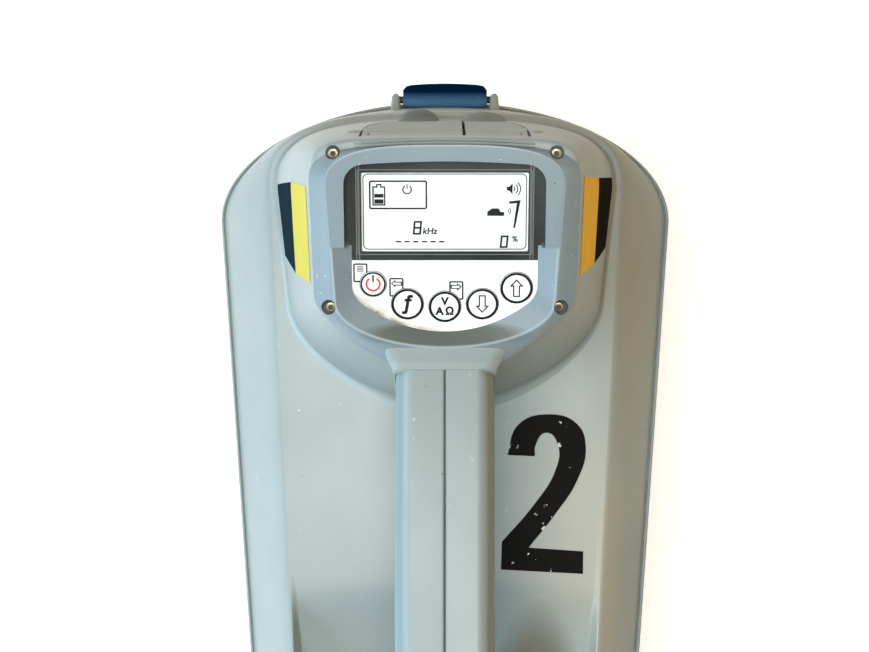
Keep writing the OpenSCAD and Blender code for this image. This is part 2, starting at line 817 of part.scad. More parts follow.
// Open tray that carries the housing, with the latch's keeper and the outer hinge knuckles
module accessory_tray() {
  color("gray")
  difference() {
    union() {
      skin([
        flat(grow(rim, -27), foot_h),
        flat(grow(rim, -19), foot_h + 1.2),
        flat(grow(rim, -13.5), foot_h + 5.5),
        flat(grow(rim, -10.5), foot_h + 14),
        flat(grow(rim, -2.5), rim_z - 14),
        flat(grow(rim, -1), rim_z - 11.5),
        flat(grow(rim, -1), tray_top),
        flat(grow(rim, -1 - tray_wall), tray_top),
        flat(grow(rim, -2.5 - tray_wall), rim_z - 14),
        flat(grow(rim, -10.5 - tray_wall), foot_h + 15),
        flat(grow(rim, -14.5 - tray_wall), foot_h + 7),
        flat(grow(rim, -24 - tray_wall), foot_h + tray_wall)
      ]);
      translate([0, latch_y - 3.7, latch_z - latch_drop + 26]) rod_x(3, latch_w - 6);
      for (s = [-1, 1]) translate([s * (knuckle_x + knuckle_l / 2 + 0.3), hinge_y, 0]) {
        translate([0, 0, hinge_z]) rod_x(knuckle_d / 2, knuckle_l);
        rotate([90, 0, 90]) linear_extrude(knuckle_l, center = true)
          polygon([[-knuckle_d / 2, hinge_z], [knuckle_d / 2, hinge_z],
            [6.5, rim_z - 8], [6.5, rim_z - 20], [4.5, rim_z - 20]]);
      }
    }
    translate([0, hinge_y, hinge_z]) {
      rod_x(hinge_pin_d / 2, 90);
      rod_x(knuckle_d / 2 + 0.6, 2 * knuckle_x + 0.6);
    }
    for (s = [-1, 1]) translate([s * (knuckle_x + knuckle_l / 2), hinge_y + 2, tray_top])
      translate([-20, 3.9, 0]) cube([40, 20, 20]);
  }
}

module tray_feet() {
  color("black")
  for (x = [-1, 1]) {
    translate([x * (body_w / 2 - 46), 215, 0]) cylinder(d = foot_d, h = foot_h);
    translate([x * (tail_w / 2 - 38), -240, 0]) cylinder(d = foot_d, h = foot_h);
  }
}

module tray_hinge_pin() {
  color("silver")
  translate([0, hinge_y, hinge_z]) rod_x(hinge_pin_d / 2, 2 * knuckle_x + 2 * knuckle_l + 0.6);
}

// Main board on the pan's posts, and the output transformer on it
module main_board() {
  color("darkgreen")
  translate([-65, 165, pan_z + 14]) cube([130, 100, 1.6]);
}

module transformer() {
  color("saddlebrown")
  translate([0, 205, pan_z + 15.6]) {
    translate([-24, -16, 0]) cube([48, 32, 34]);
    translate([-15, -23, 5]) cube([30, 46, 24]);
  }
}

// Coil: rod, winding and two clips that stand on the pan
module ferrite_rod() {
  color("dimgray")
  translate([0, -195, rim_z + 24]) rod_x(5, 100);
}

module coil_winding() {
  color("peru")
  translate([0, -195, rim_z + 24]) difference() {
    rod_x(10, 60);
    rod_x(5, 62);
  }
}

module coil_clips() {
  color("black")
  for (s = [-1, 1]) difference() {
    translate([s * 40 - 4, -203, pan_z + pan_t]) cube([8, 16, 28]);
    translate([0, -195, rim_z + 24]) rod_x(5, 120);
  }
}

// Battery case and cells in the well, closed by a door from below
module battery_case() {
  color("dimgray")
  translate([0, well_y, pan_z - case_h]) difference() {
    translate([-well_w / 2 + gap, -well_l / 2 + gap, 0])
      cube([well_w - 2 * gap, well_l - 2 * gap, case_h]);
    translate([-well_w / 2 + 2.4, -well_l / 2 + 2.4, -1])
      cube([well_w - 4.8, well_l - 4.8, case_h - 1]);
  }
}

module battery_cells() {
  color("goldenrod")
  for (s = [-1, 1], i = [-1.5:1:1.5])
    translate([s * (cell_l / 2 + 0.8), well_y + i * (cell_d + 0.8), pan_z - 2 - cell_d / 2])
      rod_x(cell_d / 2, cell_l);
}

module battery_contacts() {
  color("silver")
  for (i = [-1.5:1:1.5]) translate([0, well_y + i * (cell_d + 0.8), pan_z - 2 - cell_d / 2]) {
    rod_x(9, 1.6);
    for (s = [-1, 1]) translate([s * (cell_l + 0.8 + (well_w / 2 - 2.4 - cell_l - 0.8) / 2), 0, 0])
      rod_x(8, well_w / 2 - 2.4 - cell_l - 0.8);
  }
}

module battery_door() {
  color("dimgray")
  difference() {
    union() {
      translate([-well_w / 2 - well_t, well_y - well_l / 2 - well_t, well_low - 2.6])
        cube([well_w + 2 * well_t, well_l + 2 * well_t, 2.6]);
      for (s = [-1, 1]) translate([s * well_w / 4 - 6, well_y - well_l / 2 + 6, well_low - 0.5])
        cube([12, well_l - 12, 6.5]);
    }
    for (s = [-1, 1]) translate([s * (well_w / 2 + well_t / 2), well_y, well_low - 4])
      cylinder(r = 1.1, h = 8);
  }
}

module door_screws() {
  color("silver")
  for (s = [-1, 1]) translate([s * (well_w / 2 + well_t / 2), well_y, well_low - 4.2]) {
    cylinder(r = 2.6, h = 1.6);
    cylinder(r = 0.95, h = 11);
  }
}

accessory_tray();
tray_feet();
tray_hinge_pin();
upper_shell();
base_pan();
pan_seal();
pan_screws();
display_bezel();
bezel_seal();
bezel_screws();
display_window();
lcd_panel();
lcd_frame();
keypad_overlay();
control_board();
dome_switches();
sounder();
key_power();
key_frequency();
key_measure();
key_down();
key_up();
handle_left();
handle_right();
handle_screws();
output_socket();
power_socket();
output_flap();
power_flap();
flap_pin();
latch();
latch_pin();
main_board();
transformer();
ferrite_rod();
coil_winding();
coil_clips();
battery_case();
battery_cells();
battery_contacts();
battery_door();
door_screws();
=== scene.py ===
# %% [markdown]
# # Dressing a cable-locator transmitter
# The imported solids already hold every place, hinge and key of the transmitter. This lesson builds
# the visible skins over them. All shapes are worked out in millimetres in the same frame as the
# solids (X right, Y to the latch end, Z up) and scaled to metres when a piece is finished, so that
# nothing needs fitting afterwards.

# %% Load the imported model
import math
from collections import namedtuple
import bpy
import bmesh
from mathutils import Matrix, Vector


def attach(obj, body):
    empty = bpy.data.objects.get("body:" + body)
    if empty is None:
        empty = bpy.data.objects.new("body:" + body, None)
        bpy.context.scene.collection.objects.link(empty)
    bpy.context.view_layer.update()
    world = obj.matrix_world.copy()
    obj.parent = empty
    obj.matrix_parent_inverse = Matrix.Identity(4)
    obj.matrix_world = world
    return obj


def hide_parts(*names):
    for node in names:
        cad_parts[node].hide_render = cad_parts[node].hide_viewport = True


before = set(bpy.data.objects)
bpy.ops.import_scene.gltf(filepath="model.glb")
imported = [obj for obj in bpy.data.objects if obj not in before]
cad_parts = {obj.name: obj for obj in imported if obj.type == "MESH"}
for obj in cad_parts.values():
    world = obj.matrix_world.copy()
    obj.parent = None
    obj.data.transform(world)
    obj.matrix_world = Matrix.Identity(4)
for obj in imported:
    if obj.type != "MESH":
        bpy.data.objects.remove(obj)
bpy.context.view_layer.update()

# %% [markdown]
# ## The outlines of the mouldings
# Seen from above, every ring of the housing is one kind of curve: a rounded front, straight sides
# and a rounded tail. Eight numbers describe it: half width, start, depth and power of the front
# curve, then the same four for the tail. A power of 2 is an ellipse and a higher one is squarer.
# Points are spread by angle, so that a loft between two outlines keeps its columns upright.

# %% Outlines seen from above
Outline = namedtuple("Outline", "half front depth power tail_half tail tail_depth tail_power")
RIM = Outline(108, 250, 57.5, 2, 73, -262, 50, 2.6)
DECK = Outline(81.5, 262, 36, 2.9, 56, -250, 44, 2.4)
HEAD = Outline(77, 262, 32, 2.8, 71, 210, 46, 1.7)
TOP = Outline(56, 258, 19.4, 5, 55, 212, 34.8, 1.52)
BORDER = Outline(56.4, 258, 16.2, 3.6, 55, 212, 34, 1.5)
CREST = Outline(49.1, 258, 17.6, 3, 46.2, 212, 19.3, 2)
ARC_STEPS, SIDE_STEPS = 32, 24


def span(first, last, count):
    return [first * (1 - i / count) + last * (i / count) for i in range(count + 1)]


def between(a, b, t):
    return [p + (q - p) * t for p, q in zip(a, b)]


def mix(a, b, t):
    return Outline(*between(a, b, t))


def grow(o, d):
    return o._replace(half=o.half + d, depth=o.depth + d, tail_half=o.tail_half + d,
                      tail_depth=o.tail_depth + d)


def quarter(half, depth, power, count):
    points = []
    for a in span(math.pi / 2, 0, count):
        k = (math.cos(a) ** power + math.sin(a) ** power) ** (-1 / power)
        points.append((half * k * math.cos(a), depth * k * math.sin(a)))
    return points


def right_half(o, side):
    front = [(x, o.front + y) for x, y in quarter(o.half, o.depth, o.power, ARC_STEPS)]
    back = quarter(o.tail_half, o.tail_depth, o.tail_power, ARC_STEPS)
    tail = [(x, o.tail - y) for x, y in reversed(back)]
    flank = list(zip(span(o.half, o.tail_half, side), span(o.front, o.tail, side)))
    return front + flank[1:-1] + tail


def outline(o, side=SIDE_STEPS):
    right = right_half(o, side)
    return right + [(-x, y) for x, y in reversed(right[1:-1])]


def half_at(o, y):
    if y > o.front:
        return o.half * max(0.0, 1 - ((y - o.front) / o.depth) ** o.power) ** (1 / o.power)
    if y < o.tail:
        return o.tail_half * max(0.0, 1 - ((o.tail - y) / o.tail_depth) ** o.tail_power) ** (1 / o.tail_power)
    return o.half + (o.tail_half - o.half) * (o.front - y) / (o.front - o.tail)


print("points in one ring", len(outline(RIM)))

# %% [markdown]
# ## Two tilted frames
# The bezel lies on a slope that faces the user, and the socket flaps lie on the head's front, which
# leans back. Each gets a matrix, so that its pieces can be drawn flat and then set in place. The head
# itself rises from a level ring to the sloping one, and swells a little on the way.

# %% Slope of the bezel, front of the head, and rings on them
TILT, LEAN = math.radians(17.6), math.radians(9.5)
SLOPE_Y, SLOPE_Z = 233, 242.7
FRONT_Y, FRONT_Z = 287.6, 200
HEAD_Z, EDGE_DROP, HEAD_SWELL = 162, 2.5, 1.2
SLOPE = Matrix.Translation((0, SLOPE_Y, SLOPE_Z)) @ Matrix.Rotation(TILT, 4, "X")
FRONT = Matrix(((1, 0, 0, 0), (0, -math.sin(LEAN), math.cos(LEAN), FRONT_Y),
                (0, math.cos(LEAN), math.sin(LEAN), FRONT_Z), (0, 0, 0, 1)))
ALONG_X = Matrix.Rotation(math.pi / 2, 4, "Y")


def level(o, z, side=SIDE_STEPS):
    return [Vector((x, y, z)) for x, y in outline(o, side)]


def top_z(y):
    return SLOPE_Z + (y - SLOPE_Y) * math.tan(TILT)


def sloped(o, lift):
    return [Vector((x, y, top_z(y) + lift)) for x, y in outline(o)]


def head_outline(t):
    return grow(mix(HEAD, TOP, t), HEAD_SWELL * math.sin(math.pi * t))


def head_z(y, t):
    return HEAD_Z + (top_z(y) - EDGE_DROP - HEAD_Z) * t


def rising(t):
    return [Vector((x, y, head_z(y, t))) for x, y in outline(head_outline(t))]


def on_slope(points, w):
    return [SLOPE @ Vector((x, y, w)) for x, y in points]


def plate(o, w):
    return on_slope([(x, (y - SLOPE_Y) / math.cos(TILT)) for x, y in outline(o)], w)


print("top of the head at its front", round(top_z(TOP.front + TOP.depth), 1))

# %% [markdown]
# ## Lofting with the extrude operator
# A moulding is a stack of rings. It could be written as lists of corners and faces, but the extrude
# operator already makes the faces: a ring of edges is extruded once for each further ring, and the
# new corners are then set on that ring. The same loop works for open rows, such as a deck.

# %% Loft and cap
def loft(bm, rings, closed=True):
    row = [bm.verts.new(p) for p in rings[0]]
    rows = [row]
    pairs = range(len(row) if closed else len(row) - 1)
    edges = [bm.edges.new((row[i], row[(i + 1) % len(row)])) for i in pairs]
    for points in rings[1:]:
        made = bmesh.ops.extrude_edge_only(bm, edges=edges)["geom"]
        fresh = {g for g in made if isinstance(g, bmesh.types.BMVert)}
        row = [next(e.other_vert(v) for e in v.link_edges if e.other_vert(v) in fresh) for v in row]
        for v, p in zip(row, points):
            v.co = p
        edges = [bm.edges.get((row[i], row[(i + 1) % len(row)])) for i in pairs]
        rows.append(row)
    return rows


def solid_loft(bm, rings):
    rows = loft(bm, rings)
    for row in (rows[0], rows[-1]):
        bmesh.ops.contextual_create(bm, geom=[bm.edges.get(pair) for pair in zip(row, row[1:] + row[:1])])


sample = bmesh.new()
solid_loft(sample, [level(RIM, 0), level(DECK, 1)])
print("faces of a trial loft", len(sample.faces))
sample.free()

# %% [markdown]
# ## Finishing and carving
# Every piece ends the same way: doubles are merged, normals point outwards, millimetres become metres,
# and the piece is set on its body. Pockets and flush lids could be modelled by hand, but a boolean with
# the exact solver follows the curved head by itself, so it is applied to a mesh before finishing.

# %% Finish a piece, carve a solid
MM, MERGE, WELD = 0.001, 0.004, 0.02


def finish_piece(bm, name, finish, body, stands_for=(), sharp=38, merge=MERGE):
    bmesh.ops.remove_doubles(bm, verts=bm.verts, dist=merge)
    bmesh.ops.recalc_face_normals(bm, faces=bm.faces)
    bmesh.ops.scale(bm, vec=(MM, MM, MM), verts=bm.verts)
    mesh = bpy.data.meshes.new(name)
    bm.to_mesh(mesh)
    bm.free()
    mesh.shade_smooth()
    mesh.set_sharp_from_angle(angle=math.radians(sharp))
    mesh.materials.append(finish)
    piece = bpy.data.objects.new(name, mesh)
    bpy.context.scene.collection.objects.link(piece)
    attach(piece, body)
    if stands_for:
        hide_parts(*stands_for)
    print(name, "faces", len(mesh.polygons), "on", body)


def mesh_of(bm, name):
    bmesh.ops.remove_doubles(bm, verts=bm.verts, dist=MERGE)
    bmesh.ops.recalc_face_normals(bm, faces=bm.faces)
    mesh = bpy.data.meshes.new(name)
    bm.to_mesh(mesh)
    bm.free()
    return mesh


def carve(mesh, cutters, how="DIFFERENCE"):
    body = bpy.data.objects.new("carved", mesh)
    bpy.context.scene.collection.objects.link(body)
    tools = []
    for cutter in cutters:
        tool = bpy.data.objects.new("cutter", cutter)
        bpy.context.scene.collection.objects.link(tool)
        cut = body.modifiers.new("cut", "BOOLEAN")
        cut.operation, cut.solver, cut.object = how, "EXACT", tool
        tools.append(tool)
    bpy.context.view_layer.update()
    made = bpy.data.meshes.new_from_object(body.evaluated_get(bpy.context.evaluated_depsgraph_get()))
    for o in [body, *tools]:
        bpy.data.objects.remove(o)
    bm = bmesh.new()
    bm.from_mesh(made)
    return bm


def peg(bm, r, length, where, segments=40):
    bmesh.ops.create_cone(bm, cap_ends=True, segments=segments, radius1=r, radius2=r, depth=length,
                          matrix=where)


def cylinder(r, length, where):
    bm = bmesh.new()
    peg(bm, r, length, where)
    return mesh_of(bm, "cylinder")


print("merge distance", MERGE, "mm, weld distance", WELD, "mm")

# %% [markdown]
# ## Shared finishes as node groups
# Moulded plastic shows a fine spark-eroded grain and a slow drift of tone. Both could be drawn anew in
# each material. Most of the materials need them, so they are one shader group that reads Object
# coordinates and puts out values only. The Principled shader stays in each material, with its
# constants on its own sockets.

# %% Group: moulded grain
def group(name, inputs, outputs):
    tree = bpy.data.node_groups.new(name, "ShaderNodeTree")
    for label, value in inputs:
        tree.interface.new_socket(label, in_out="INPUT", socket_type="NodeSocketFloat").default_value = value
    for label in outputs:
        tree.interface.new_socket(label, in_out="OUTPUT", socket_type="NodeSocketFloat")
    return tree, tree.nodes.new("NodeGroupInput"), tree.nodes.new("NodeGroupOutput")


def node(tree, kind, links=(), **settings):
    made = tree.nodes.new(kind)
    for key, value in settings.items():
        setattr(made, key, value)
    for socket, source in links:
        target = made.inputs[socket]
        if isinstance(source, bpy.types.NodeSocket):
            tree.links.new(source, target)
        else:
            target.default_value = source
    return made


def object_place(tree):
    return node(tree, "ShaderNodeTexCoord").outputs["Object"]


def maths(tree, how, a, b, clamp=False):
    return node(tree, "ShaderNodeMath", [(0, a), (1, b)], operation=how, use_clamp=clamp).outputs[0]


def noise(tree, place, scale, detail, rough):
    return node(tree, "ShaderNodeTexNoise", [("Vector", place), ("Scale", scale), ("Detail", detail),
                                             ("Roughness", rough)])


grain, g_in, g_out = group("Moulded grain", [("Scale", 1500.0), ("Drift", 14.0)], ["Height", "Tone"])
place = object_place(grain)
fine = noise(grain, place, g_in.outputs["Scale"], 2.0, 0.6)
slow = noise(grain, place, g_in.outputs["Drift"], 4.0, 0.55)
grain.links.new(fine.outputs["Fac"], g_out.inputs["Height"])
grain.links.new(slow.outputs["Fac"], g_out.inputs["Tone"])
print(grain.name, [s.name for s in grain.interface.items_tree])

# %% [markdown]
# ## Field wear
# Years of field use leave pale chips, dark specks and short scratches. They could be painted, but a
# pattern covers every piece alike. A chip is the middle of a Voronoi cell, cut off at a small radius,
# and the cell's random colour says whether that cell has one. Scratches are the same thing on
# stretched and turned coordinates. A little noise in the coordinates makes the marks ragged.

# %% Group: chips, specks and scratches
RAGGED, RAGGED_SCALE = 0.0035, 900.0
WEAR_INPUTS = [("Cells", 70.0), ("Size", 0.05), ("Share", 0.3), ("Scratches", 0.2)]
WEAR_KINDS = {"Pale": ((3.1, 0.7, 1.9), (1, 1, 1), 0.0, "Share"),
              "Dark": ((0.4, 5.2, 2.6), (1.3, 1.1, 1.2), 0.5, "Share"),
              "Scratch": ((1.7, 2.2, 0.3), (0.9, 0.16, 0.5), 0.6, "Scratches")}
wear, w_in, w_out = group("Field wear", WEAR_INPUTS, list(WEAR_KINDS))
place = object_place(wear)
wobble = noise(wear, place, RAGGED_SCALE, 2.0, 0.5)
shaken = node(wear, "ShaderNodeMix", [(0, RAGGED), (4, place), (5, wobble.outputs["Color"])],
              data_type="VECTOR").outputs[1]


def spots(offset, stretch, turn, share):
    moved = node(wear, "ShaderNodeMapping", [("Vector", shaken), ("Location", offset),
                                             ("Rotation", (0, 0, turn)), ("Scale", stretch)])
    cells = node(wear, "ShaderNodeTexVoronoi", [("Vector", moved.outputs[0]),
                                                ("Scale", w_in.outputs["Cells"])])
    lot = node(wear, "ShaderNodeSeparateColor", [("Color", cells.outputs["Color"])])
    chosen = maths(wear, "LESS_THAN", lot.outputs[0], w_in.outputs[share])
    width = maths(wear, "MULTIPLY", lot.outputs[1], w_in.outputs["Size"])
    near = maths(wear, "LESS_THAN", cells.outputs["Distance"], width)
    return maths(wear, "MULTIPLY", near, chosen)


for kind, values in WEAR_KINDS.items():
    wear.links.new(spots(*values), w_out.inputs[kind])
print(wear.name, "nodes", len(wear.nodes))

# %% [markdown]
# ## The materials
# One function makes every moulded finish: two close tones mixed by the slow drift, chips and dark
# specks over them, a roughness that follows the drift, and the grain as bump. Print, metal and rubber
# could each have a function of their own, but they are the same recipe with other values.

# %% Material builders
def srgb(*levels):
    parts = [v / 255 for v in levels]
    return tuple(c / 12.92 if c <= 0.04045 else ((c + 0.055) / 1.055) ** 2.4 for c in parts) + (1,)


def scaled(tone, share):
    return tuple(c * share for c in tone[:3]) + (1,)


def shader(name):
    material = bpy.data.materials.new(name)
    material.use_nodes = True
    tree = material.node_tree
    return material, tree, tree.nodes["Principled BSDF"]


def use(tree, source, **values):
    made = tree.nodes.new("ShaderNodeGroup")
    made.node_tree = source
    for key, value in values.items():
        made.inputs[key].default_value = value
    return made


def blend(tree, factor, a, b):
    return node(tree, "ShaderNodeMix", [(0, factor), (6, a), (7, b)], data_type="RGBA").outputs[2]


def ranged(tree, source, low, high, to_low, to_high):
    made = node(tree, "ShaderNodeMapRange", [("Value", source), (1, low), (2, high), (3, to_low),
                                             (4, to_high)])
    return made.outputs[0]


GRAIN_DEPTH, SCRATCH_LIFT = 0.0002, 1.35
TONE_DRIFT, ROUGH_DRIFT, SMOOTHER, ROUGHER = (0.35, 0.65), (0.3, 0.7), 0.05, 0.06


def moulded(name, tone, second, rough=0.4, bump=0.12, grain_scale=1500.0, cells=260.0, size=0.12, share=0.08,
            scratches=0.1, pale=(0.66, 0.7, 0.7, 1), dark=(0.09, 0.1, 0.1, 1), metal=0.0, coat=0.0,
            drift=14.0, shine=0.4):
    material, tree, bsdf = shader(name)
    texture = use(tree, grain, Scale=grain_scale, Drift=drift)
    marks = use(tree, wear, Cells=cells, Size=size, Share=share, Scratches=scratches)
    tones = blend(tree, ranged(tree, texture.outputs["Tone"], *TONE_DRIFT, 0.0, 1.0), tone, second)
    for kind, tint in (("Scratch", scaled(second, SCRATCH_LIFT)), ("Dark", dark), ("Pale", pale)):
        tones = blend(tree, marks.outputs[kind], tones, tint)
    tree.links.new(tones, bsdf.inputs["Base Color"])
    tree.links.new(ranged(tree, texture.outputs["Tone"], *ROUGH_DRIFT, rough - SMOOTHER, rough + ROUGHER),
                   bsdf.inputs["Roughness"])
    lift = node(tree, "ShaderNodeBump", [("Height", texture.outputs["Height"]), ("Strength", bump),
                                         ("Distance", GRAIN_DEPTH)])
    tree.links.new(lift.outputs[0], bsdf.inputs["Normal"])
    bsdf.inputs["Metallic"].default_value = metal
    bsdf.inputs["Coat Weight"].default_value = coat
    bsdf.inputs["Specular IOR Level"].default_value = shine
    return material


def printed(name, tone, rough=0.4, share=0.0, size=0.06, cells=90.0, chip=(0.7, 0.74, 0.73, 1), shine=0.12):
    return moulded(name, tone, scaled(tone, 0.9), rough, 0.04, 2200.0, cells, size, share, share * 0.5, chip,
                   tone, shine=shine)


print("builders ready, grain depth", GRAIN_DEPTH, "m")

# %% [markdown]
# ## The list of finishes
# The grey mouldings differ by a few levels, because the bezel, handle and housing come from different
# tools and have faded differently. The solids that stay inside get plain finishes of their own kind:
# lacquered boards, enamelled copper, steel and rubber.

# %% Make the finishes
BLACK_CHIP = (0.1, 0.1, 0.1, 1)
FINISH = {
    "housing": moulded("housing grey plastic", srgb(155, 165, 162), srgb(149, 160, 159)),
    "head": moulded("head grey plastic", srgb(152, 162, 159), srgb(146, 157, 156)),
    "bezel": moulded("bezel blue-grey plastic", srgb(133, 147, 152), srgb(125, 140, 148), 0.38, cells=330.0,
                     share=0.55, scratches=0.2),
    "handle": moulded("handle grey plastic", srgb(154, 166, 164), srgb(147, 160, 160), 0.38, share=0.16,
                      scratches=0.3),
    "tray": moulded("tray grey plastic", srgb(130, 138, 136), srgb(122, 130, 129), 0.5, 0.2, 900.0),
    "flap": moulded("flap soft rubber", srgb(166, 169, 161), srgb(157, 160, 152), 0.6, 0.1),
    "latch": moulded("latch deep blue plastic", srgb(84, 124, 158), srgb(74, 114, 150), 0.5, 0.06, shine=0.0,
                     pale=(0.25, 0.4, 0.6, 1), dark=(0.004, 0.01, 0.03, 1)),
    "pan": moulded("pan dark plastic", srgb(92, 96, 98), srgb(82, 86, 88), 0.55, 0.2, 900.0),
    "foot": moulded("foot black rubber", srgb(34, 34, 35), srgb(26, 26, 27), 0.75, 0.3, 700.0,
                    pale=(0.12, 0.12, 0.12, 1)),
    "seal": moulded("seal black rubber", srgb(36, 37, 38), srgb(28, 29, 30), 0.7, 0.2, pale=BLACK_CHIP),
    "inner": moulded("inner black plastic", srgb(30, 31, 32), srgb(22, 23, 24), 0.45, 0.1, pale=BLACK_CHIP),
    "steel": moulded("plain steel", srgb(168, 168, 166), srgb(146, 146, 144), 0.32, 0.05, metal=1.0,
                     pale=(0.7, 0.7, 0.68, 1), dark=(0.2, 0.17, 0.13, 1)),
    "brass": moulded("dulled brass", srgb(182, 174, 148), srgb(136, 128, 104), 0.38, 0.08, metal=1.0,
                     drift=500.0, pale=(0.6, 0.55, 0.42, 1), dark=(0.08, 0.06, 0.04, 1)),
    "board": moulded("board green lacquer", srgb(32, 92, 58), srgb(26, 78, 48), 0.35, 0.05),
    "core": moulded("dark core", srgb(66, 66, 68), srgb(56, 56, 58), 0.6, 0.3, 700.0),
    "copper": moulded("enamelled copper", srgb(176, 104, 66), srgb(150, 84, 50), 0.3, 0.1, metal=1.0,
                      drift=400.0),
    "cell": moulded("plain cell jacket", srgb(178, 138, 62), srgb(160, 122, 54), 0.3, 0.03, coat=0.4),
    "window": moulded("glossy dark border", srgb(66, 68, 66), srgb(38, 40, 39), 0.12, 0.0, share=0.2,
                      cells=420.0, size=0.1, scratches=0.0, pale=(0.35, 0.37, 0.38, 1), coat=0.6),
    "lcd": moulded("pale display", srgb(246, 248, 248), srgb(240, 243, 243), 0.3, 0.0, share=0.0,
                   scratches=0.0),
    "key": moulded("satin white key", srgb(248, 248, 247), srgb(242, 242, 240), 0.35, 0.02, share=0.04,
                   pale=(0.6, 0.58, 0.5, 1), dark=(0.3, 0.28, 0.22, 1), scratches=0.0),
    # painted highlight: pale lines where the pane's edges catch the light
    "pane": printed("painted pane edge highlight", srgb(120, 124, 122), 0.25),
    "ink": printed("black print", srgb(22, 23, 26), 0.5),
    "red": printed("red print", srgb(224, 84, 84)),
    "segment": printed("display segments", srgb(34, 37, 40)),
    "yellow": printed("yellow label", srgb(212, 198, 98), 0.5, shine=0.0),
    "navy": printed("navy label", srgb(34, 48, 56), 0.6, shine=0.0),
    "black": printed("black label", srgb(40, 38, 33), 0.6, shine=0.0),
    "orange": printed("orange label", srgb(255, 200, 84), 0.5, shine=0.0),
    "number": printed("worn black number", srgb(10, 8, 6), 0.65, 0.5, 0.28, 260.0, srgb(200, 204, 200)),
}
print("finishes", len(FINISH))

# %% [markdown]
# ## The keypad film
# The white film is glued into the bezel, and dirt has gathered along its curved lower left edge. A
# painted map could hold that line, but it is an arc, so the distance from the arc's middle, with one
# axis scaled for the tilt, gives it without any picture. Noise breaks the line into streaks.

# %% White film with a dirty edge
FILM_CENTRE, FILM_SCALE = (0, -0.2623, 0), (1, 1.049, 0)
EDGE_LINE, EDGE_HAZE, HAZE, DIRTY_SIDE = (0.0532, 0.055), (0.049, 0.0545), 0.45, (0.006, -0.02)
STREAKS, FILM_ROUGH = (0.35, 0.6, 0.45, 1.0), (0.3, 0.42)
CLEAN_FILM, FILM_DIRT = srgb(250, 250, 248), srgb(122, 102, 46)
film, tree, bsdf = shader("white keypad film")
spot = node(tree, "ShaderNodeMapping", [("Vector", object_place(tree)), ("Location", FILM_CENTRE),
                                        ("Scale", FILM_SCALE)]).outputs[0]
reach = node(tree, "ShaderNodeVectorMath", [(0, spot)], operation="LENGTH").outputs["Value"]
edge = maths(tree, "MAXIMUM", ranged(tree, reach, *EDGE_LINE, 0.0, 1.0),
             ranged(tree, reach, *EDGE_HAZE, 0.0, HAZE))
left = ranged(tree, node(tree, "ShaderNodeSeparateXYZ", [(0, spot)]).outputs[0], *DIRTY_SIDE, 0.0, 1.0)
patchy = use(tree, grain, Scale=1500.0, Drift=160.0).outputs["Tone"]
streaks = ranged(tree, patchy, *STREAKS)
dirt = maths(tree, "MULTIPLY", maths(tree, "MULTIPLY", edge, left), streaks)
tree.links.new(blend(tree, dirt, CLEAN_FILM, FILM_DIRT), bsdf.inputs["Base Color"])
tree.links.new(ranged(tree, patchy, *ROUGH_DRIFT, *FILM_ROUGH), bsdf.inputs["Roughness"])
FINISH["film"] = film
print("film nodes", len(tree.nodes))

# %% [markdown]
# ## Painted light and shade
# The mouldings aren't one even grey, and here that is light and shade painted into the colour: painted
# shade on the latch's lip, the bezel's foot by the collar, the scoop, the head's foot and the deck right
# of the pod, the thumb lobes and both grip edges, painted warm light on the front-facing parts, and
# painted highlights on the pod's foot, on the deck right of the grip and along the bezel's crest. Each
# painted place is a soft ellipsoid in Object coordinates that mixes in another tint. The crest follows
# the tilted bezel, so its coordinates are first turned into the slope's frame.

# %% Painted light and shade patches, and the painted crest highlight
# finish, middle and reach in metres, tint, and the share of the reach that takes the full tint
PAINTED_LIGHT_PATCHES = [
    # painted shade: the latch's front lip darker than its barrel
    ("latch", (0, 0.3245, 0.08), (0.3, 0.0194, 0.3), srgb(2, 34, 66), 0.7),
    # painted shade: the bezel's foot beside the collar
    ("bezel", (0, 0.196, 0.24), (0.038, 0.0062, 0.03), srgb(94, 101, 95), 0.7),
    # painted highlight: a pale line along the pod's foot, where the fillet catches the light
    ("head", (-0.045, 0.19, 0.1545), (0.09, 0.06, 0.0038), srgb(168, 180, 180), 0.7),
    # painted warm light: the front-facing parts of the head and housing tinted warmer
    ("head", (0.01, 0.3, 0.2), (0.1, 0.034, 0.1), srgb(160, 159, 149), 0.7),
    ("housing", (0.02, 0.31, 0.13), (0.13, 0.045, 0.08), srgb(161, 160, 150), 0.7),
    # painted highlight: a pale sheen on the deck right of the grip
    ("housing", (0.066, 0.095, 0.155), (0.04, 0.1, 0.03), srgb(170, 170, 159), 0.3),
    # painted shade: the scoop under the grip
    ("housing", (0.043, 0.0, 0.125), (0.025, 0.075, 0.2), srgb(126, 124, 112), 0.7),
    # painted shade: the head's foot and the deck right of the pod
    ("head", (0.08, 0.235, 0.156), (0.014, 0.05, 0.012), srgb(150, 146, 128), 0.7),
    ("housing", (0.09, 0.225, 0.15), (0.034, 0.1, 0.045), srgb(151, 148, 132), 0.1),
    # painted shade: the two thumb lobes
    ("flap", (-0.0118, 0.2935, 0.172), (0.0125, 0.014, 0.016), srgb(108, 112, 105), 0.7),
    ("flap", (0.0174, 0.2935, 0.172), (0.0138, 0.014, 0.016), srgb(126, 127, 117), 0.7),
    # painted shade on both grip edges: bluish on the left, olive on the right
    ("handle", (-0.0205, 0.02, 0.22), (0.0048, 0.3, 0.05), srgb(122, 146, 153), 0.7),
    ("handle", (0.0205, 0.02, 0.22), (0.0048, 0.3, 0.05), srgb(118, 121, 108), 0.7),
]
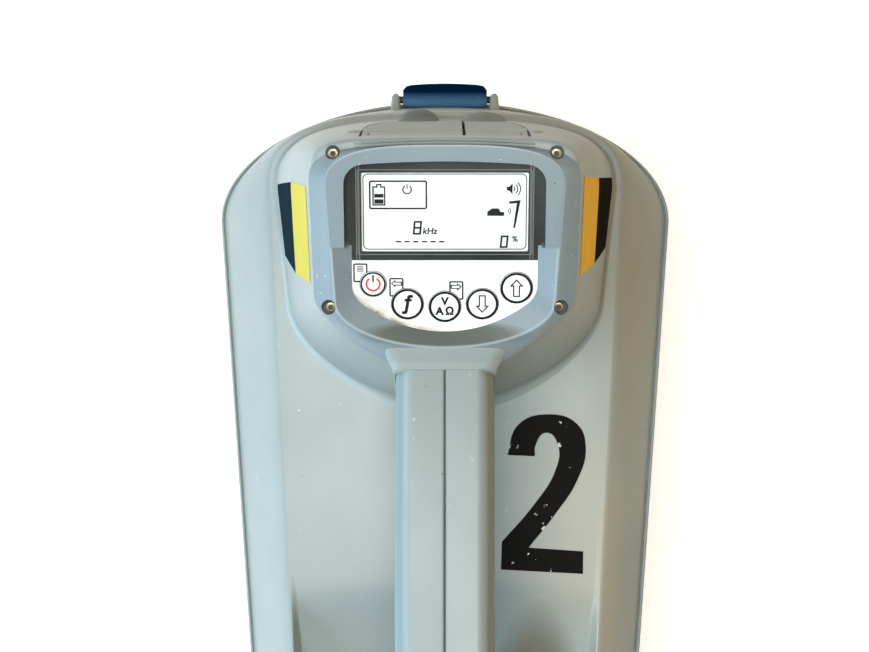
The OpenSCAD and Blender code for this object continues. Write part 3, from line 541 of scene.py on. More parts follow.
# a pale line painted along the bezel's crest, where its edge catches the light: a painted highlight
CREST_LINE, CREST_FLAT, HOOD_START = (0.00845, 0.00864), (0.00862, 0.00868), (0.0005, 0.0025)
CREST_SHARE, CREST_HIGHLIGHT_TINT = 0.6, srgb(176, 190, 194)


def tinted(material, share, tint):
    tree = material.node_tree
    colour = tree.nodes["Principled BSDF"].inputs["Base Color"]
    tree.links.new(blend(tree, share, colour.links[0].from_socket, tint), colour)


def paint_light_patch(material, centre, reach, tint, core):
    tree = material.node_tree
    where = node(tree, "ShaderNodeMapping", [("Vector", object_place(tree)),
                                             ("Location", [-c / r for c, r in zip(centre, reach)]),
                                             ("Scale", [1 / r for r in reach])])
    away = node(tree, "ShaderNodeVectorMath", [(0, where.outputs[0])], operation="LENGTH")
    tinted(material, ranged(tree, away.outputs["Value"], core, 1.0, 1.0, 0.0), tint)


def paint_crest_highlight(material, tint):
    tree = material.node_tree
    local = node(tree, "ShaderNodeMapping", [("Vector", object_place(tree)),
                                             ("Location", (0, SLOPE_Y * MM, SLOPE_Z * MM)),
                                             ("Rotation", (TILT, 0, 0))], vector_type="TEXTURE")
    parts = node(tree, "ShaderNodeSeparateXYZ", [(0, local.outputs[0])]).outputs
    near = ranged(tree, parts[2], *CREST_LINE, 0.0, CREST_SHARE)
    hood = ranged(tree, parts[1], *HOOD_START, 0.0, 1.0)
    flat = ranged(tree, parts[2], *CREST_FLAT, 0.0, 1.0)
    tinted(material, maths(tree, "SUBTRACT", near, maths(tree, "MULTIPLY", hood, flat), True), tint)


for finish, *where in PAINTED_LIGHT_PATCHES:
    paint_light_patch(FINISH[finish], *where)
paint_crest_highlight(FINISH["bezel"], CREST_HIGHLIGHT_TINT)
print("patches", len(PAINTED_LIGHT_PATCHES))

# %% [markdown]
# ## Height of the deck
# The deck is slightly crowned, and a hand scoop dips into it under the grip. A sculpted grid could
# hold that shape, but both are simple enough for one formula: the crown is a parabola across, and the
# scoop is a cylinder's saddle, faded out at the sides and softened at its ends.

# %% Crown and scoop
# shares of the way from the flank's foot to the deck: start, pull and end of the soft edge
EDGE_START, EDGE_PULL, EDGE_END = 0.76, 0.93, 1.03
FLANK_INSET = -2.3
LOWER = grow(RIM, FLANK_INSET)
DECK_EDGE = mix(LOWER, DECK, EDGE_END)
DECK_Z, CROWN, CROWN_TAIL, CROWN_LONG = 154, 3, -294, 455
SCOOP_Y, SCOOP_DEPTH, SCOOP_R, SCOOP_SOFT = -15, 26, 161.9, 3
WALL_GAP, WALL_WIDE = 0.3, 2.9


def smooth(t):
    t = min(1.0, max(0.0, t))
    return t * t * (3 - 2 * t)


def crown(x, y):
    half = max(half_at(DECK_EDGE, y), 0.001)
    return CROWN * min(1.0, max(0.0, (y - CROWN_TAIL) / CROWN_LONG)) * max(0.0, 1 - (x / half) ** 2)


def deck_z(x, y):
    up = crown(x, y)
    away = min(abs(y - SCOOP_Y), SCOOP_R - 1)
    sink = up + SCOOP_DEPTH - SCOOP_R + math.sqrt(SCOOP_R ** 2 - away ** 2)
    sink = (sink + math.sqrt(sink * sink + SCOOP_SOFT ** 2)) / 2
    return DECK_Z + up - sink * smooth((half_at(DECK_EDGE, y) - WALL_GAP - abs(x)) / WALL_WIDE)


print("deck at the scoop", round(deck_z(0, SCOOP_Y), 1), "and beside it", round(deck_z(40, 120), 1))

# %% [markdown]
# ## The housing
# The housing's flank starts at the parting line with a rounded bead and a groove, leans in, and turns
# into the deck through a soft edge. It is one loft of closed rings, outside up and inside down. The
# deck is a second loft of open rows that end on the points of the flank's last ring, so the two weld
# into one skin. A subdivided box would need many cuts to hold the bead and the scoop's walls.

# %% Loft the flank and the deck
HOUSING_SIDE = 128
PARTING_Z, FLANK_LOW, FLANK_HIGH, EDGE_Z = 105, 113, 146.5, 153.8
BEAD = [(-8, PARTING_Z), (-0.6, PARTING_Z), (0, 105.6), (0, 110.8), (-0.25, 111.6), (-0.8, 112),
        (-1.3, 111.7), (-1.5, 110.6), (-1.9, 110.4), (-2.2, 111.6)]
INNER_WALL = [(grow(DECK_EDGE, -0.8), 151), (grow(LOWER, -3.5), 117), (grow(RIM, -8), 110),
              (grow(RIM, -8), PARTING_Z)]
DECK_COLUMNS = [0, 0.5, 1, 1.5, 2, 2.6, 3.2, 3.8, 4.4, 5.2, 6.5, 9]
NARROW = 30


def bend(a, b, c, s):
    return a * (1 - s) ** 2 + 2 * b * s * (1 - s) + c * s * s


rings = [(grow(RIM, d), z) for d, z in BEAD]
rings += [(mix(LOWER, DECK, EDGE_START * s), FLANK_LOW + (FLANK_HIGH - FLANK_LOW) * s)
          for s in span(0, 1, 6)[:-1]]
rings += [(mix(LOWER, DECK, bend(EDGE_START, EDGE_PULL, EDGE_END, s)), bend(FLANK_HIGH, EDGE_Z, DECK_Z, s))
          for s in span(0, 1, 8)]
bm = bmesh.new()
loft(bm, [level(o, z, HOUSING_SIDE) for o, z in rings + INNER_WALL])
rows = []
for half, y in right_half(DECK_EDGE, HOUSING_SIDE):
    right = [half - e * min(1.0, half / NARROW) for e in DECK_COLUMNS]
    right += span(right[-1], 0, 10)[1:]
    xs = [-x for x in right] + list(reversed(right[:-1]))
    rows.append([Vector((x, y, deck_z(x, y) if abs(x) < half - WELD / 2 else DECK_Z)) for x in xs])
loft(bm, rows, closed=False)
finish_piece(bm, "housing_shell", FINISH["housing"], "housing", ["upper_shell"],
             merge=WELD)

# %% [markdown]
# ## The display head
# The head grows out of the deck with a small fillet and narrows to the tilted bezel. It could be a
# skin like the housing, but it is lofted as one closed solid, because two boolean steps need it: the
# pocket behind the socket flaps is cut out of it, and the flaps are what the same solid has in common
# with their outline. That way the flaps lie flush in the curved front.

# %% Solid of the head and outline of the flaps
FILLET = [(2.4, 6, 150, 1), (2.4, 6, 154, 1), (1.6, 3.9, 154.4, 1), (0.9, 2.3, 155.2, 1),
          (0.4, 1.1, 156.6, 0.9), (0.1, 0.3, 159, 0.5)]
TOP_EDGE = [(-0.3, -1.3), (-0.9, -0.3), (-1.9, 0.35), (-3, 0.5)]
FLAP_TOP, FLAP_HALF, FLAP_LONG, FLAP_POWER = 50, 35.2, 81, 2.6
WIDE = 99


def flare(side, back, z, fade):
    o = grow(HEAD, side)._replace(tail_depth=HEAD.tail_depth + back)
    return [Vector((x, y, z + fade * crown(x, y))) for x, y in outline(o)]


def head_solid():
    bm = bmesh.new()
    solid_loft(bm, [flare(*step) for step in FILLET] + [rising(t) for t in span(0, 1, 14)]
               + [sloped(grow(TOP, d), lift) for d, lift in TOP_EDGE])
    return mesh_of(bm, "head")


def bow(share):
    return (1 - share ** FLAP_POWER) ** (1 / FLAP_POWER)


def flap_outline(d, x0=-WIDE, x1=WIDE, low=-WIDE, high=FLAP_TOP):
    wide, long = FLAP_HALF + d, FLAP_LONG + d
    right = quarter(wide, long, FLAP_POWER, 30)
    curve = [(-x, y) for x, y in reversed(right[1:])] + right
    lower = [(x, max(low, FLAP_TOP - y)) for x, y in curve if x0 < x < x1 and FLAP_TOP - y < high]
    half = wide * bow((FLAP_TOP - high) / long)
    feet = [(x, max(low, FLAP_TOP - long * bow(abs(x) / wide))) for x in (x0, x1) if abs(x) < half]
    return sorted(lower + feet) + [(min(x1, half), high), (max(x0, -half), high)]


print("points of the flaps' outline", len(flap_outline(0)))

# %% [markdown]
# ## Pocket and pin bosses
# Behind the flaps the head has a deep pocket for the sockets, a shallow shelf for the fixed straps and
# a round groove for the hinge. Two low bosses close the ends of the pin. The pocket's cutters reach
# far outside, so that no thin skin is left, and the bosses are spheres flattened by their matrix.

# %% Cut the head
OUTSIDE = 40
POCKET_GAP, POCKET_DEPTH, POCKET_TOP = 0.7, -17, 33.5
SHELF_DEPTH, SHELF_LOW = -4.6, 20
HINGE_V, HINGE_N, HINGE_GROOVE, HINGE_LONG = 33, -1, 2.6, 70.4
BOSS_X, BOSS_V, BOSS_N, BOSS_RADII = 38.3, 33.4, -1.1, (3.4, 3.2, 1.65)


def prism(points, low, high=OUTSIDE):
    bm = bmesh.new()
    solid_loft(bm, [[FRONT @ Vector((x, v, n)) for x, v in points] for n in (low, high)])
    return mesh_of(bm, "prism")


def dome(bm, place, radii, columns, rows):
    where = FRONT @ Matrix.Translation(place) @ Matrix.Diagonal((*radii, 1))
    bmesh.ops.create_uvsphere(bm, u_segments=columns, v_segments=rows, radius=1, matrix=where)


def hinge_at(x):
    return FRONT @ Matrix.Translation((x, HINGE_V, HINGE_N)) @ ALONG_X


bm = carve(head_solid(), [prism(flap_outline(POCKET_GAP, high=POCKET_TOP), POCKET_DEPTH),
                          prism(flap_outline(POCKET_GAP, low=SHELF_LOW), SHELF_DEPTH),
                          cylinder(HINGE_GROOVE, HINGE_LONG, hinge_at(0))])
for side in (-1, 1):
    dome(bm, (side * BOSS_X, BOSS_V, BOSS_N), BOSS_RADII, 32, 16)
finish_piece(bm, "display_head", FINISH["head"], "housing")

# %% [markdown]
# ## The brow over the flaps
# A lip with three fine ridges lies between the bezel and the flap hinge and sheds rain. A bevel could
# round one edge, but not give ridges, so its section is swept along a shallow arch as open rows. It
# sinks into the head at both ends.

# %% Sweep the brow
BROW_Y, BROW_HALF, BROW_FADE, BROW_SINK, ARCH_HALF, ARCH_RISE = 275.3, 39, 4, 2, 38, 1.5
RIDGE_FIRST, RIDGE_PITCH, RIDGES = 1.1, 1.45, 3
RIDGE = [(0, 0.2), (-0.1, 1.6), (-0.5, 1.95), (-0.9, 1.65), (-1.05, 0.2)]
section = [(2.8, -7), (2.7, -4.4), (2.3, -2.4), (1.7, -0.9)]
for ridge in range(RIDGES):
    section += [(RIDGE_FIRST - RIDGE_PITCH * ridge + ahead, lift) for ahead, lift in RIDGE]
rows = []
for ahead, lift in section + [(-4.6, -2)]:
    row = []
    for x in span(-BROW_HALF, BROW_HALF, 60):
        y = BROW_Y + ahead - ARCH_RISE * (x / ARCH_HALF) ** 2
        sunk = BROW_SINK * (1 - smooth((BROW_HALF - abs(x)) / BROW_FADE))
        row.append(Vector((x, y, top_z(y) + lift - sunk)))
    rows.append(row)
bm = bmesh.new()
loft(bm, rows, closed=False)
finish_piece(bm, "flap_brow", FINISH["head"], "housing", sharp=50)

# %% [markdown]
# ## The socket flaps
# Each flap is the common part of the head's solid and its own outline, with a rounded thumb lobe at
# its foot and a hinge barrel at its top. Above the hinge the rubber runs on as a fixed strap that is
# tucked under the brow, with one small slot. A dark seal fills the gap all round. Cutting them from
# the head's own solid keeps them flush, which separate lofts would not.

# %% Make both flaps, their straps and the seal
LEFT_FLAP, RIGHT_FLAP = (-34.8, 7.4), (8.7, 34.8)
FLAP_THICK, FLAP_HIGH, BARREL_R, BARREL_PLAY = -3.8, 30.9, 2.2, 0.1
# middle, width and height of each thumb lobe
LEFT_LOBE, RIGHT_LOBE = (-11.8, 18.4, 5.6), (17.4, 21, 4.2)
LOBE_V, LOBE_N, LOBE_TALL, LOBE_SINK = -24.5, -0.4, 8, 0.6
STRAP_LOW, STRAP_THICK = 33.6, -4.4
SLOT_X, SLOT_V, SLOT_WIDE, SLOT_TALL, SLOT_DEPTH = 31.8, 44, 1, 6, -3
SEAL_LIP, SEAL_DEPTH, SEAL_CUT = 0.12, -3, (-9, 60)
CORNERS = ((-1, -1), (1, -1), (1, 1), (-1, 1))


def flap(name, sides, lobe, stands_for, body):
    x0, x1 = sides
    lobe_x, lobe_wide, lobe_stand = lobe
    bm = carve(head_solid(), [prism(flap_outline(0, x0, x1, high=FLAP_HIGH), FLAP_THICK)], "INTERSECT")
    dome(bm, (lobe_x, LOBE_V, LOBE_N), (lobe_wide / 2, LOBE_TALL, lobe_stand + LOBE_SINK), 36, 20)
    peg(bm, BARREL_R, x1 - x0 - BARREL_PLAY, hinge_at((x0 + x1) / 2), 28)
    finish_piece(bm, name, FINISH["flap"], body, [stands_for], sharp=40)


def strap(name, sides, slot_x):
    slot = [(slot_x + u * SLOT_WIDE / 2, SLOT_V + v * SLOT_TALL / 2) for u, v in CORNERS]
    bm = carve(head_solid(), [prism(flap_outline(0, *sides, STRAP_LOW), STRAP_THICK)], "INTERSECT")
    bm = carve(mesh_of(bm, "strap"), [prism(slot, SLOT_DEPTH)])
    finish_piece(bm, name, FINISH["flap"], "housing", sharp=40)


flap("output_flap_skin", LEFT_FLAP, LEFT_LOBE, "output_flap", "output_cover")
flap("power_flap_skin", RIGHT_FLAP, RIGHT_LOBE, "power_flap", "power_cover")
strap("output_flap_strap", LEFT_FLAP, -SLOT_X)
strap("power_flap_strap", RIGHT_FLAP, SLOT_X)
seal = carve(head_solid(), [prism(flap_outline(POCKET_GAP), SEAL_DEPTH)], "INTERSECT")
seal = carve(mesh_of(seal, "seal"), [prism(flap_outline(SEAL_LIP), *SEAL_CUT)])
finish_piece(seal, "flap_seal", FINISH["seal"], "housing")

# %% [markdown]
# ## Collar, heel, ears and knuckle
# The handle plugs into a collar behind the bezel, whose top edge flares out as a brim, and into a low
# sleeve on the deck. All are rounded rectangles swept along the handle's line. Two ears hold the latch
# pin, and a knuckle at the tail takes the hinge pin. They belong to one moulding, so they are one
# piece: separate shells that sink into the head and the deck, as ribs do in a mould.

# %% Fittings of the housing
GRIP_A, BEND_A = math.radians(20), math.radians(80)
GRIP_Y, GRIP_Z, HEEL_Y, HEEL_Z = 184, 213, -253.94, 173.25
GRIP_HALF, GRIP_RISE, GRIP_CORNER = 21, 18, 7
PIN_Y, PIN_Z, EAR_X, EAR_ROUND = 307.5, 120, 23.5, 0.95
TAIL_Y, TAIL_Z, KNUCKLE_R, KNUCKLE_LONG = -314.5, 106, 5.5, 34
BRIM_OUT, BRIM_UP, BRIM_RISE, BRIM_CORNER = 0.95, 12, 6, 5
# along the grip, outwards, drop of the section's height
COLLAR = [(-20, 10.5, 9), (-15, 7.4, 6), (-11, 5.2, 3.6), (-7, 3.5, 2), (-3, 2.3, 0.9), (1, 1.5, 0.3),
          (5, 1.05, 0), (9.2, 0.95, 0), (9.8, 0.8, 0), (10, 0.5, 0), (10, 0.25, 0), (3, 0.25, 0)]
# along the grip, wider, higher
BRIM = [(1.6, 3.4, 3), (2.2, 4.1, 5.6), (2.7, 4.2, 6.9), (3.4, 3.7, 6.4), (5.4, 2.1, 3.7), (6.7, 1.2, 1.9),
        (8, 0.5, 0.6), (9.4, 0.05, 0.05), (9.6, -0.2, -0.2)]
SLEEVE = [(22, 4.5), (18.6, 3.9), (16.4, 2.9), (13, 2.5), (8.6, 2.4), (7.8, 2), (7.5, 1.4), (7.5, 0.3),
          (12, 0.3)]
EAR = [(297, 3.4, 8), (300, 2.9, 7), (303, 2.4, 5.6), (306, 2.15, 4), (308, 1.95, 3.1), (309.6, 1.55, 2.4),
       (310.3, 1, 1.7), (310.5, 0.4, 0.8)]


def section_ring(out, y, z, tilt, half=GRIP_HALF, rise=GRIP_RISE, corner=GRIP_CORNER):
    points = []
    for k, (u, v) in enumerate(((1, 1), (-1, 1), (-1, -1), (1, -1))):
        for a in span(math.pi / 2 * k, math.pi / 2 * (k + 1), 8):
            points.append((u * (half - corner) + (corner + out) * math.cos(a),
                           v * (rise - corner) + (corner + out) * math.sin(a)))
    return [Vector((x, y + q * math.sin(tilt), z + q * math.cos(tilt))) for x, q in points]


def on_grip(along, up):
    return (GRIP_Y - along * math.cos(GRIP_A) + up * math.sin(GRIP_A),
            GRIP_Z + along * math.sin(GRIP_A) + up * math.cos(GRIP_A))


def on_heel(along):
    return HEEL_Y - along * math.cos(BEND_A), HEEL_Z - along * math.sin(BEND_A)


bm = bmesh.new()
solid_loft(bm, [section_ring(out, *on_grip(along, 0), GRIP_A, rise=GRIP_RISE - drop)
                for along, out, drop in COLLAR])
solid_loft(bm, [section_ring(BRIM_OUT, *on_grip(along, BRIM_UP + higher), GRIP_A, GRIP_HALF + wider,
                             BRIM_RISE, BRIM_CORNER) for along, wider, higher in BRIM])
solid_loft(bm, [section_ring(out, *on_heel(along), -BEND_A) for along, out in SLEEVE])
for side in (-1, 1):
    aside = Vector((side * EAR_X, 0, 0))
    solid_loft(bm, [[p + aside for p in section_ring(0, y, PIN_Z, 0, wide, tall, wide * EAR_ROUND)]
                    for y, wide, tall in EAR])
peg(bm, KNUCKLE_R, KNUCKLE_LONG, Matrix.Translation((0, TAIL_Y, TAIL_Z)) @ ALONG_X, 36)
finish_piece(bm, "housing_fittings", FINISH["head"], "housing")

# %% [markdown]
# ## Outline of the bezel's opening
# The opening joins two shapes: a window with round upper corners, and a keypad bounded by a large arc
# with small corners. Round stretches are written as arcs of named radii. The funnel's upper edge is
# found by walking outwards from the keypad's edge until the crest is met, with the directions averaged
# over neighbours so that the slope stays smooth at the corners.

# %% Arcs of the keypad and the window
KEY_REACH, KEY_MIDDLE, KEY_HALF, KEY_CORNER = 55.4, 19.3, 38.7, 10
HOOD_END, STEP = 1.5, 0.04
PANE_X, PANE_Y, PANE_R, PANE_TOP, PANE_ARCH = 33.2, 28.4, 8.4, 38, 1.2
PANE_HALF, PANE_FLANK, KEY_SIDE = 41.6, 12, -5.5
BLUR, FARTHEST, HALVINGS, CREST_INSET = 8, 30.0, 24, -0.5


def around(x, y, r, angles):
    return [(x + r * math.cos(a), y + r * math.sin(a)) for a in angles]


def keypad_curve(d):
    across = KEY_HALF - KEY_CORNER
    drop = math.sqrt((KEY_REACH - KEY_CORNER) ** 2 - across ** 2)
    turn = math.atan2(drop, across)
    corner = around(across, KEY_MIDDLE - drop, KEY_CORNER + d, span(0, -turn, 12))
    return corner + around(0, KEY_MIDDLE, KEY_REACH + d, span(-turn, -math.pi / 2, 32)[1:])


def mirrored(right):
    return right + [(-x, y) for x, y in reversed(right) if x > 0.01]


def opening(d):
    right = [(PANE_X * t, PANE_TOP + d - PANE_ARCH * t ** 2) for t in span(0, 1, 8)[:-1]]
    right += around(PANE_X, PANE_Y, PANE_R + d, span(math.pi / 2, 0, 12))
    right += [(PANE_HALF + d, PANE_FLANK), (PANE_HALF + d, HOOD_END + STEP)]
    right += [(KEY_HALF + d, HOOD_END - STEP), (KEY_HALF + d, KEY_SIDE)]
    return mirrored(right + keypad_curve(d))


def crest_line(points):
    count = len(points)
    normals = []
    for i in range(count):
        (x0, y0), (x1, y1) = points[i - 1], points[(i + 1) % count]
        normals.append(Vector((y0 - y1, x1 - x0)).normalized())
    made = []
    for i, (x, y) in enumerate(points):
        weighted = [normals[(i + k) % count] * (BLUR + 1 - abs(k)) for k in range(-BLUR, BLUR + 1)]
        away = sum(weighted, Vector((0, 0))).normalized()
        inner, outer = 0.0, FARTHEST
        for _ in range(HALVINGS):
            k = (inner + outer) / 2
            far_y = SLOPE_Y + (y + k * away.y) * math.cos(TILT)
            inside = abs(x + k * away.x) < half_at(grow(CREST, CREST_INSET), far_y)
            inner, outer = (k, outer) if inside else (inner, k)
        made.append((x + inner * away.x, y + inner * away.y))
    return made


print("points of the opening", len(opening(0)))

# %% [markdown]
# ## The bezel
# The bezel is the busiest moulding: a border that swells from the head's edge to a crest, a hood that
# frames the window on three sides, and a funnel that slopes down to the keys. One loft can't hold the
# hood and the funnel together, so the border is lofted as a solid, and the funnel, the opening and the
# four screw pockets are cut from it. The funnel is clipped by a plane where the hood ends.

# %% Loft and cut the bezel
CREST_W, BORDER_W, SWELL_POWER, FUNNEL_W, FUNNEL_RISE = 8.7, 2, 1.25, 4.45, 4.27
CUT_TOP, HOLE_LOW, HOLE_GAP = 14, 2.4, 0.1
FOOT_Y, FOOT_PITCH, FOOT_POINTS = 16, 1.15, 28
SCREW_W, POCKET_R, POCKET_LONG, POCKET_UP = 2.3, 3.1, 14, 6
BORDER_FOOT = [(-1, -0.5), (-0.9, 1.2), (-0.2, 1.5), (0, BORDER_W)]
CREST_EDGE = [(0.35, -0.18), (-0.1, -0.02), (-0.7, 0)]
# place on the slope, and the shift of the upright pocket out and ahead
SCREW_PLACES = ((46, 39.9, 0.2, 0.5), (48, -26.2, 0.8, -0.1))
SCREWS = [(s * x, y, s * out, ahead) for x, y, out, ahead in SCREW_PLACES for s in (-1, 1)]


def swell(t):
    return BORDER_W + (CREST_W - BORDER_W) * (1 - (1 - t) ** SWELL_POWER)


def screw_axis(x, y, out, ahead):
    return SLOPE @ Vector((x, y, SCREW_W)) + Vector((out, ahead, 0))


border = bmesh.new()
solid_loft(border, [plate(grow(BORDER, d), w) for d, w in BORDER_FOOT]
           + [plate(mix(BORDER, CREST, t), swell(t)) for t in span(0, 1, 8)[1:-1]]
           + [plate(grow(CREST, d), CREST_W + w) for d, w in CREST_EDGE])
foot = mirrored([(KEY_HALF, FOOT_Y - FOOT_PITCH * i) for i in range(FOOT_POINTS)] + keypad_curve(0))
crest = crest_line(foot)
funnel = bmesh.new()
solid_loft(funnel, [on_slope([between(a, b, t) for a, b in zip(foot, crest)], FUNNEL_W + FUNNEL_RISE * t)
                    for t in span(0, 1, 5)] + [on_slope(crest, CUT_TOP)])
bmesh.ops.bisect_plane(funnel, geom=funnel.verts[:] + funnel.edges[:] + funnel.faces[:], clear_outer=True,
                       plane_co=SLOPE @ Vector((0, HOOD_END, 0)), plane_no=SLOPE.to_3x3() @ Vector((0, 1, 0)))
bmesh.ops.holes_fill(funnel, edges=[e for e in funnel.edges if e.is_boundary], sides=0)
hole = bmesh.new()
solid_loft(hole, [on_slope(opening(HOLE_GAP), w) for w in (HOLE_LOW, CUT_TOP)])
pockets = [cylinder(POCKET_R, POCKET_LONG, Matrix.Translation(screw_axis(*screw) + Vector((0, 0, POCKET_UP))))
           for screw in SCREWS]
bm = carve(mesh_of(border, "border"), [mesh_of(funnel, "funnel"), mesh_of(hole, "hole"), *pockets])
bmesh.ops.remove_doubles(bm, verts=bm.verts, dist=WELD)
bmesh.ops.dissolve_degenerate(bm, edges=bm.edges, dist=WELD)
finish_piece(bm, "bezel_skin", FINISH["bezel"], "housing", ["display_bezel"], sharp=24)

# %% [markdown]
# ## Screws, painted-shade discs and seal of the bezel
# Four dulled brass screws with hexagon sockets sit in upright pockets, each on a dark disc that stands
# for the shade in its pocket: painted shade. A thin seal lip shows under the bezel's edge. A screw could
# be a spun profile, but its socket isn't round: each ring has the same number of points, and those of
# the socket are snapped to six corners.

# %% Screws, painted-shade discs and seal
RING_POINTS, SHADE_DISC_POINTS, SHADE_DISC_DROP = 60, 40, -1
# radius, height on the slope, corners
SCREW_HEAD = [(2.2, 0.9, 60), (2.2, 2.35, 60), (2.05, 2.55, 60), (1.8, 2.6, 60), (1.25, 2.6, 6),
              (1.2, 1.3, 6), (0.02, 1.2, 6)]
SHADE_DISC = [(0.1, 0), (2.9, 0), (3, 0.1), (3, 0.35), (2.9, 0.45), (0.1, 0.45)]
LIP = [(-0.5, 0.3), (-0.25, 0.75), (-0.5, 1.3), (-3, 1.3), (-3, 0.3), (-0.5, 0.3)]


def circle(count):
    return span(0, math.tau, count)[:-1]


def snapped(corners):
    return [round(i / (RING_POINTS / corners) - 0.001) * math.tau / corners for i in range(RING_POINTS)]


heads, shade_discs, lip = bmesh.new(), bmesh.new(), bmesh.new()
for screw in SCREWS:
    loft(heads, [on_slope(around(*screw[:2], r, snapped(corners)), w) for r, w, corners in SCREW_HEAD])
    # a dark disc under each head: painted shade in the pocket
    middle = screw_axis(*screw) + Vector((0, 0, SHADE_DISC_DROP))
    loft(shade_discs, [[middle + Vector((x, y, z)) for x, y in around(0, 0, r, circle(SHADE_DISC_POINTS))]
                   for r, z in SHADE_DISC])
loft(lip, [plate(grow(BORDER, d), w) for d, w in LIP])
finish_piece(shade_discs, "bezel_screw_shade_discs", FINISH["inner"], "housing")
finish_piece(heads, "bezel_screw_heads", FINISH["brass"], "housing", ["bezel_screws"],
             sharp=30)
finish_piece(lip, "bezel_seal_lip", FINISH["seal"], "housing", ["bezel_seal"])

# %% [markdown]
# ## The handle
# The handle is two half shells joined on the centre line, so the dark seam along its top is a real
# groove between them. A line of dark paint would vanish from the side. Each half is a closed half
# section swept over the arc, the level run and the rear bend, and small chamfers at the joint make the
# seam read as a line. Below the groove the halves meet, so no light shows through. Three screw
# recesses are cut in the left half.

# %% Sweep both halves
GRIP_R, GRIP_INSET, LEVEL_Z, REAR_Y, REAR_R, HEEL_END = 300, 3.2, 231.09, -185, 70, 17.9
RECESS_R, RECESS_LONG, RECESSES = 3.4, 8, (120, -30, -160)
HALF_SECTION = [(0.005, 14.4), (0.25, 14.7), (0.25, 16.9), (0.5, 17.65), (0.9, 17.95), (1.4, 18), (13, 18),
                (13.6, 18), (14.6, 17.85), (15.4, 17.4), (16, 16.8), (16.5, 16.2), (19.2, 12.9), (19.7, 12.3),
                (20.5, 11), (20.9, 9.6), (21, 8)]
ARC_END = GRIP_Y - GRIP_R * math.sin(GRIP_A)


def arc_z(a):
    return GRIP_Z + GRIP_R * (math.cos(a) - math.cos(GRIP_A))


def handle_stations():
    for a in span(GRIP_A - GRIP_INSET / GRIP_R, 0, 24):
        yield ARC_END + GRIP_R * math.sin(a), arc_z(a), a
    for y in span(ARC_END, REAR_Y, 20)[1:-1]:
        yield y, LEVEL_Z, 0.0
    for a in span(0, BEND_A, 30):
        yield REAR_Y - REAR_R * math.sin(a), LEVEL_Z - REAR_R * (1 - math.cos(a)), -a
    yield *on_heel(HEEL_END), -BEND_A


def handle_half(side):
    section = [(side * x, q) for x, q in HALF_SECTION + [(x, -q) for x, q in reversed(HALF_SECTION)]]
    bm = bmesh.new()
    solid_loft(bm, [[Vector((x, y + q * math.sin(a), z + q * math.cos(a))) for x, q in section]
                    for y, z, a in handle_stations()])
    return bm


def over(y):
    return arc_z(math.asin(max(0.0, (y - ARC_END) / GRIP_R)))


recesses = [cylinder(RECESS_R, RECESS_LONG, Matrix.Translation((-GRIP_HALF, y, over(y))) @ ALONG_X)
            for y in RECESSES]
left = carve(mesh_of(handle_half(-1), "half"), recesses)
right = handle_half(1)
finish_piece(left, "handle_left_skin", FINISH["handle"], "housing", ["handle_left"])
finish_piece(right, "handle_right_skin", FINISH["handle"], "housing", ["handle_right"])

# %% [markdown]
# ## The accessory tray
# The tray holds leads and clamps under the housing. It repeats the housing's outline below the parting
# line, with a flange at its rim and a rounded foot. A shell modifier would thicken an outer skin evenly,
# but the tray's wall is thinner at the rim, so one loft runs up the outside and down the inside. A bar
# for the latch and two hinge lugs are added.

# %% Loft the tray
TRAY_SIDE = 48
KEEPER_Y, KEEPER_Z, KEEPER_R, KEEPER_LONG = 303.8, 86, 3, 34
LUG_SIDES = (17.3, 29.3)
OUTER_WALL = [(-27, 4), (-22, 4.3), (-19, 5.2), (-16, 7), (-13.5, 9.5), (-11.8, 13), (-10.5, 18),
              (-6.5, 54.5), (-2.5, 90), (-2.2, 92), (-1.3, 93.2), (-1, 94.2), (-1, 104), (-1.4, 104.6),
              (-2, 104.7)]
TRAY_INSIDE = [(-4, 104.7), (-5.5, 91), (-9.5, 54.5), (-13.5, 19), (-15, 14), (-17.5, 11), (-21, 8.4),
               (-27, 7)]
LUG_FOOT = [(-319.6, 103), (-312, 86), (-308, 86), (-307.8, 97)]
LUG = around(TAIL_Y, TAIL_Z, KNUCKLE_R, span(0, math.pi, 14)) + LUG_FOOT
bm = bmesh.new()
solid_loft(bm, [level(grow(RIM, d), z, TRAY_SIDE) for d, z in OUTER_WALL + TRAY_INSIDE])
peg(bm, KEEPER_R, KEEPER_LONG, Matrix.Translation((0, KEEPER_Y, KEEPER_Z)) @ ALONG_X, 28)
for side in (-1, 1):
    solid_loft(bm, [[Vector((side * x, y, z)) for y, z in LUG] for x in LUG_SIDES])
finish_piece(bm, "tray_skin", FINISH["tray"], "tray", ["accessory_tray"])

# %% [markdown]
# ## The latch
# The latch is a bent plate on a barrel that hooks under the tray's bar. A plain extrusion of its side
# profile would end in flat cuts, so it is lofted in slices: those near its ends draw the lip back and
# shrink a little, which gives the arched front edge and soft ends.

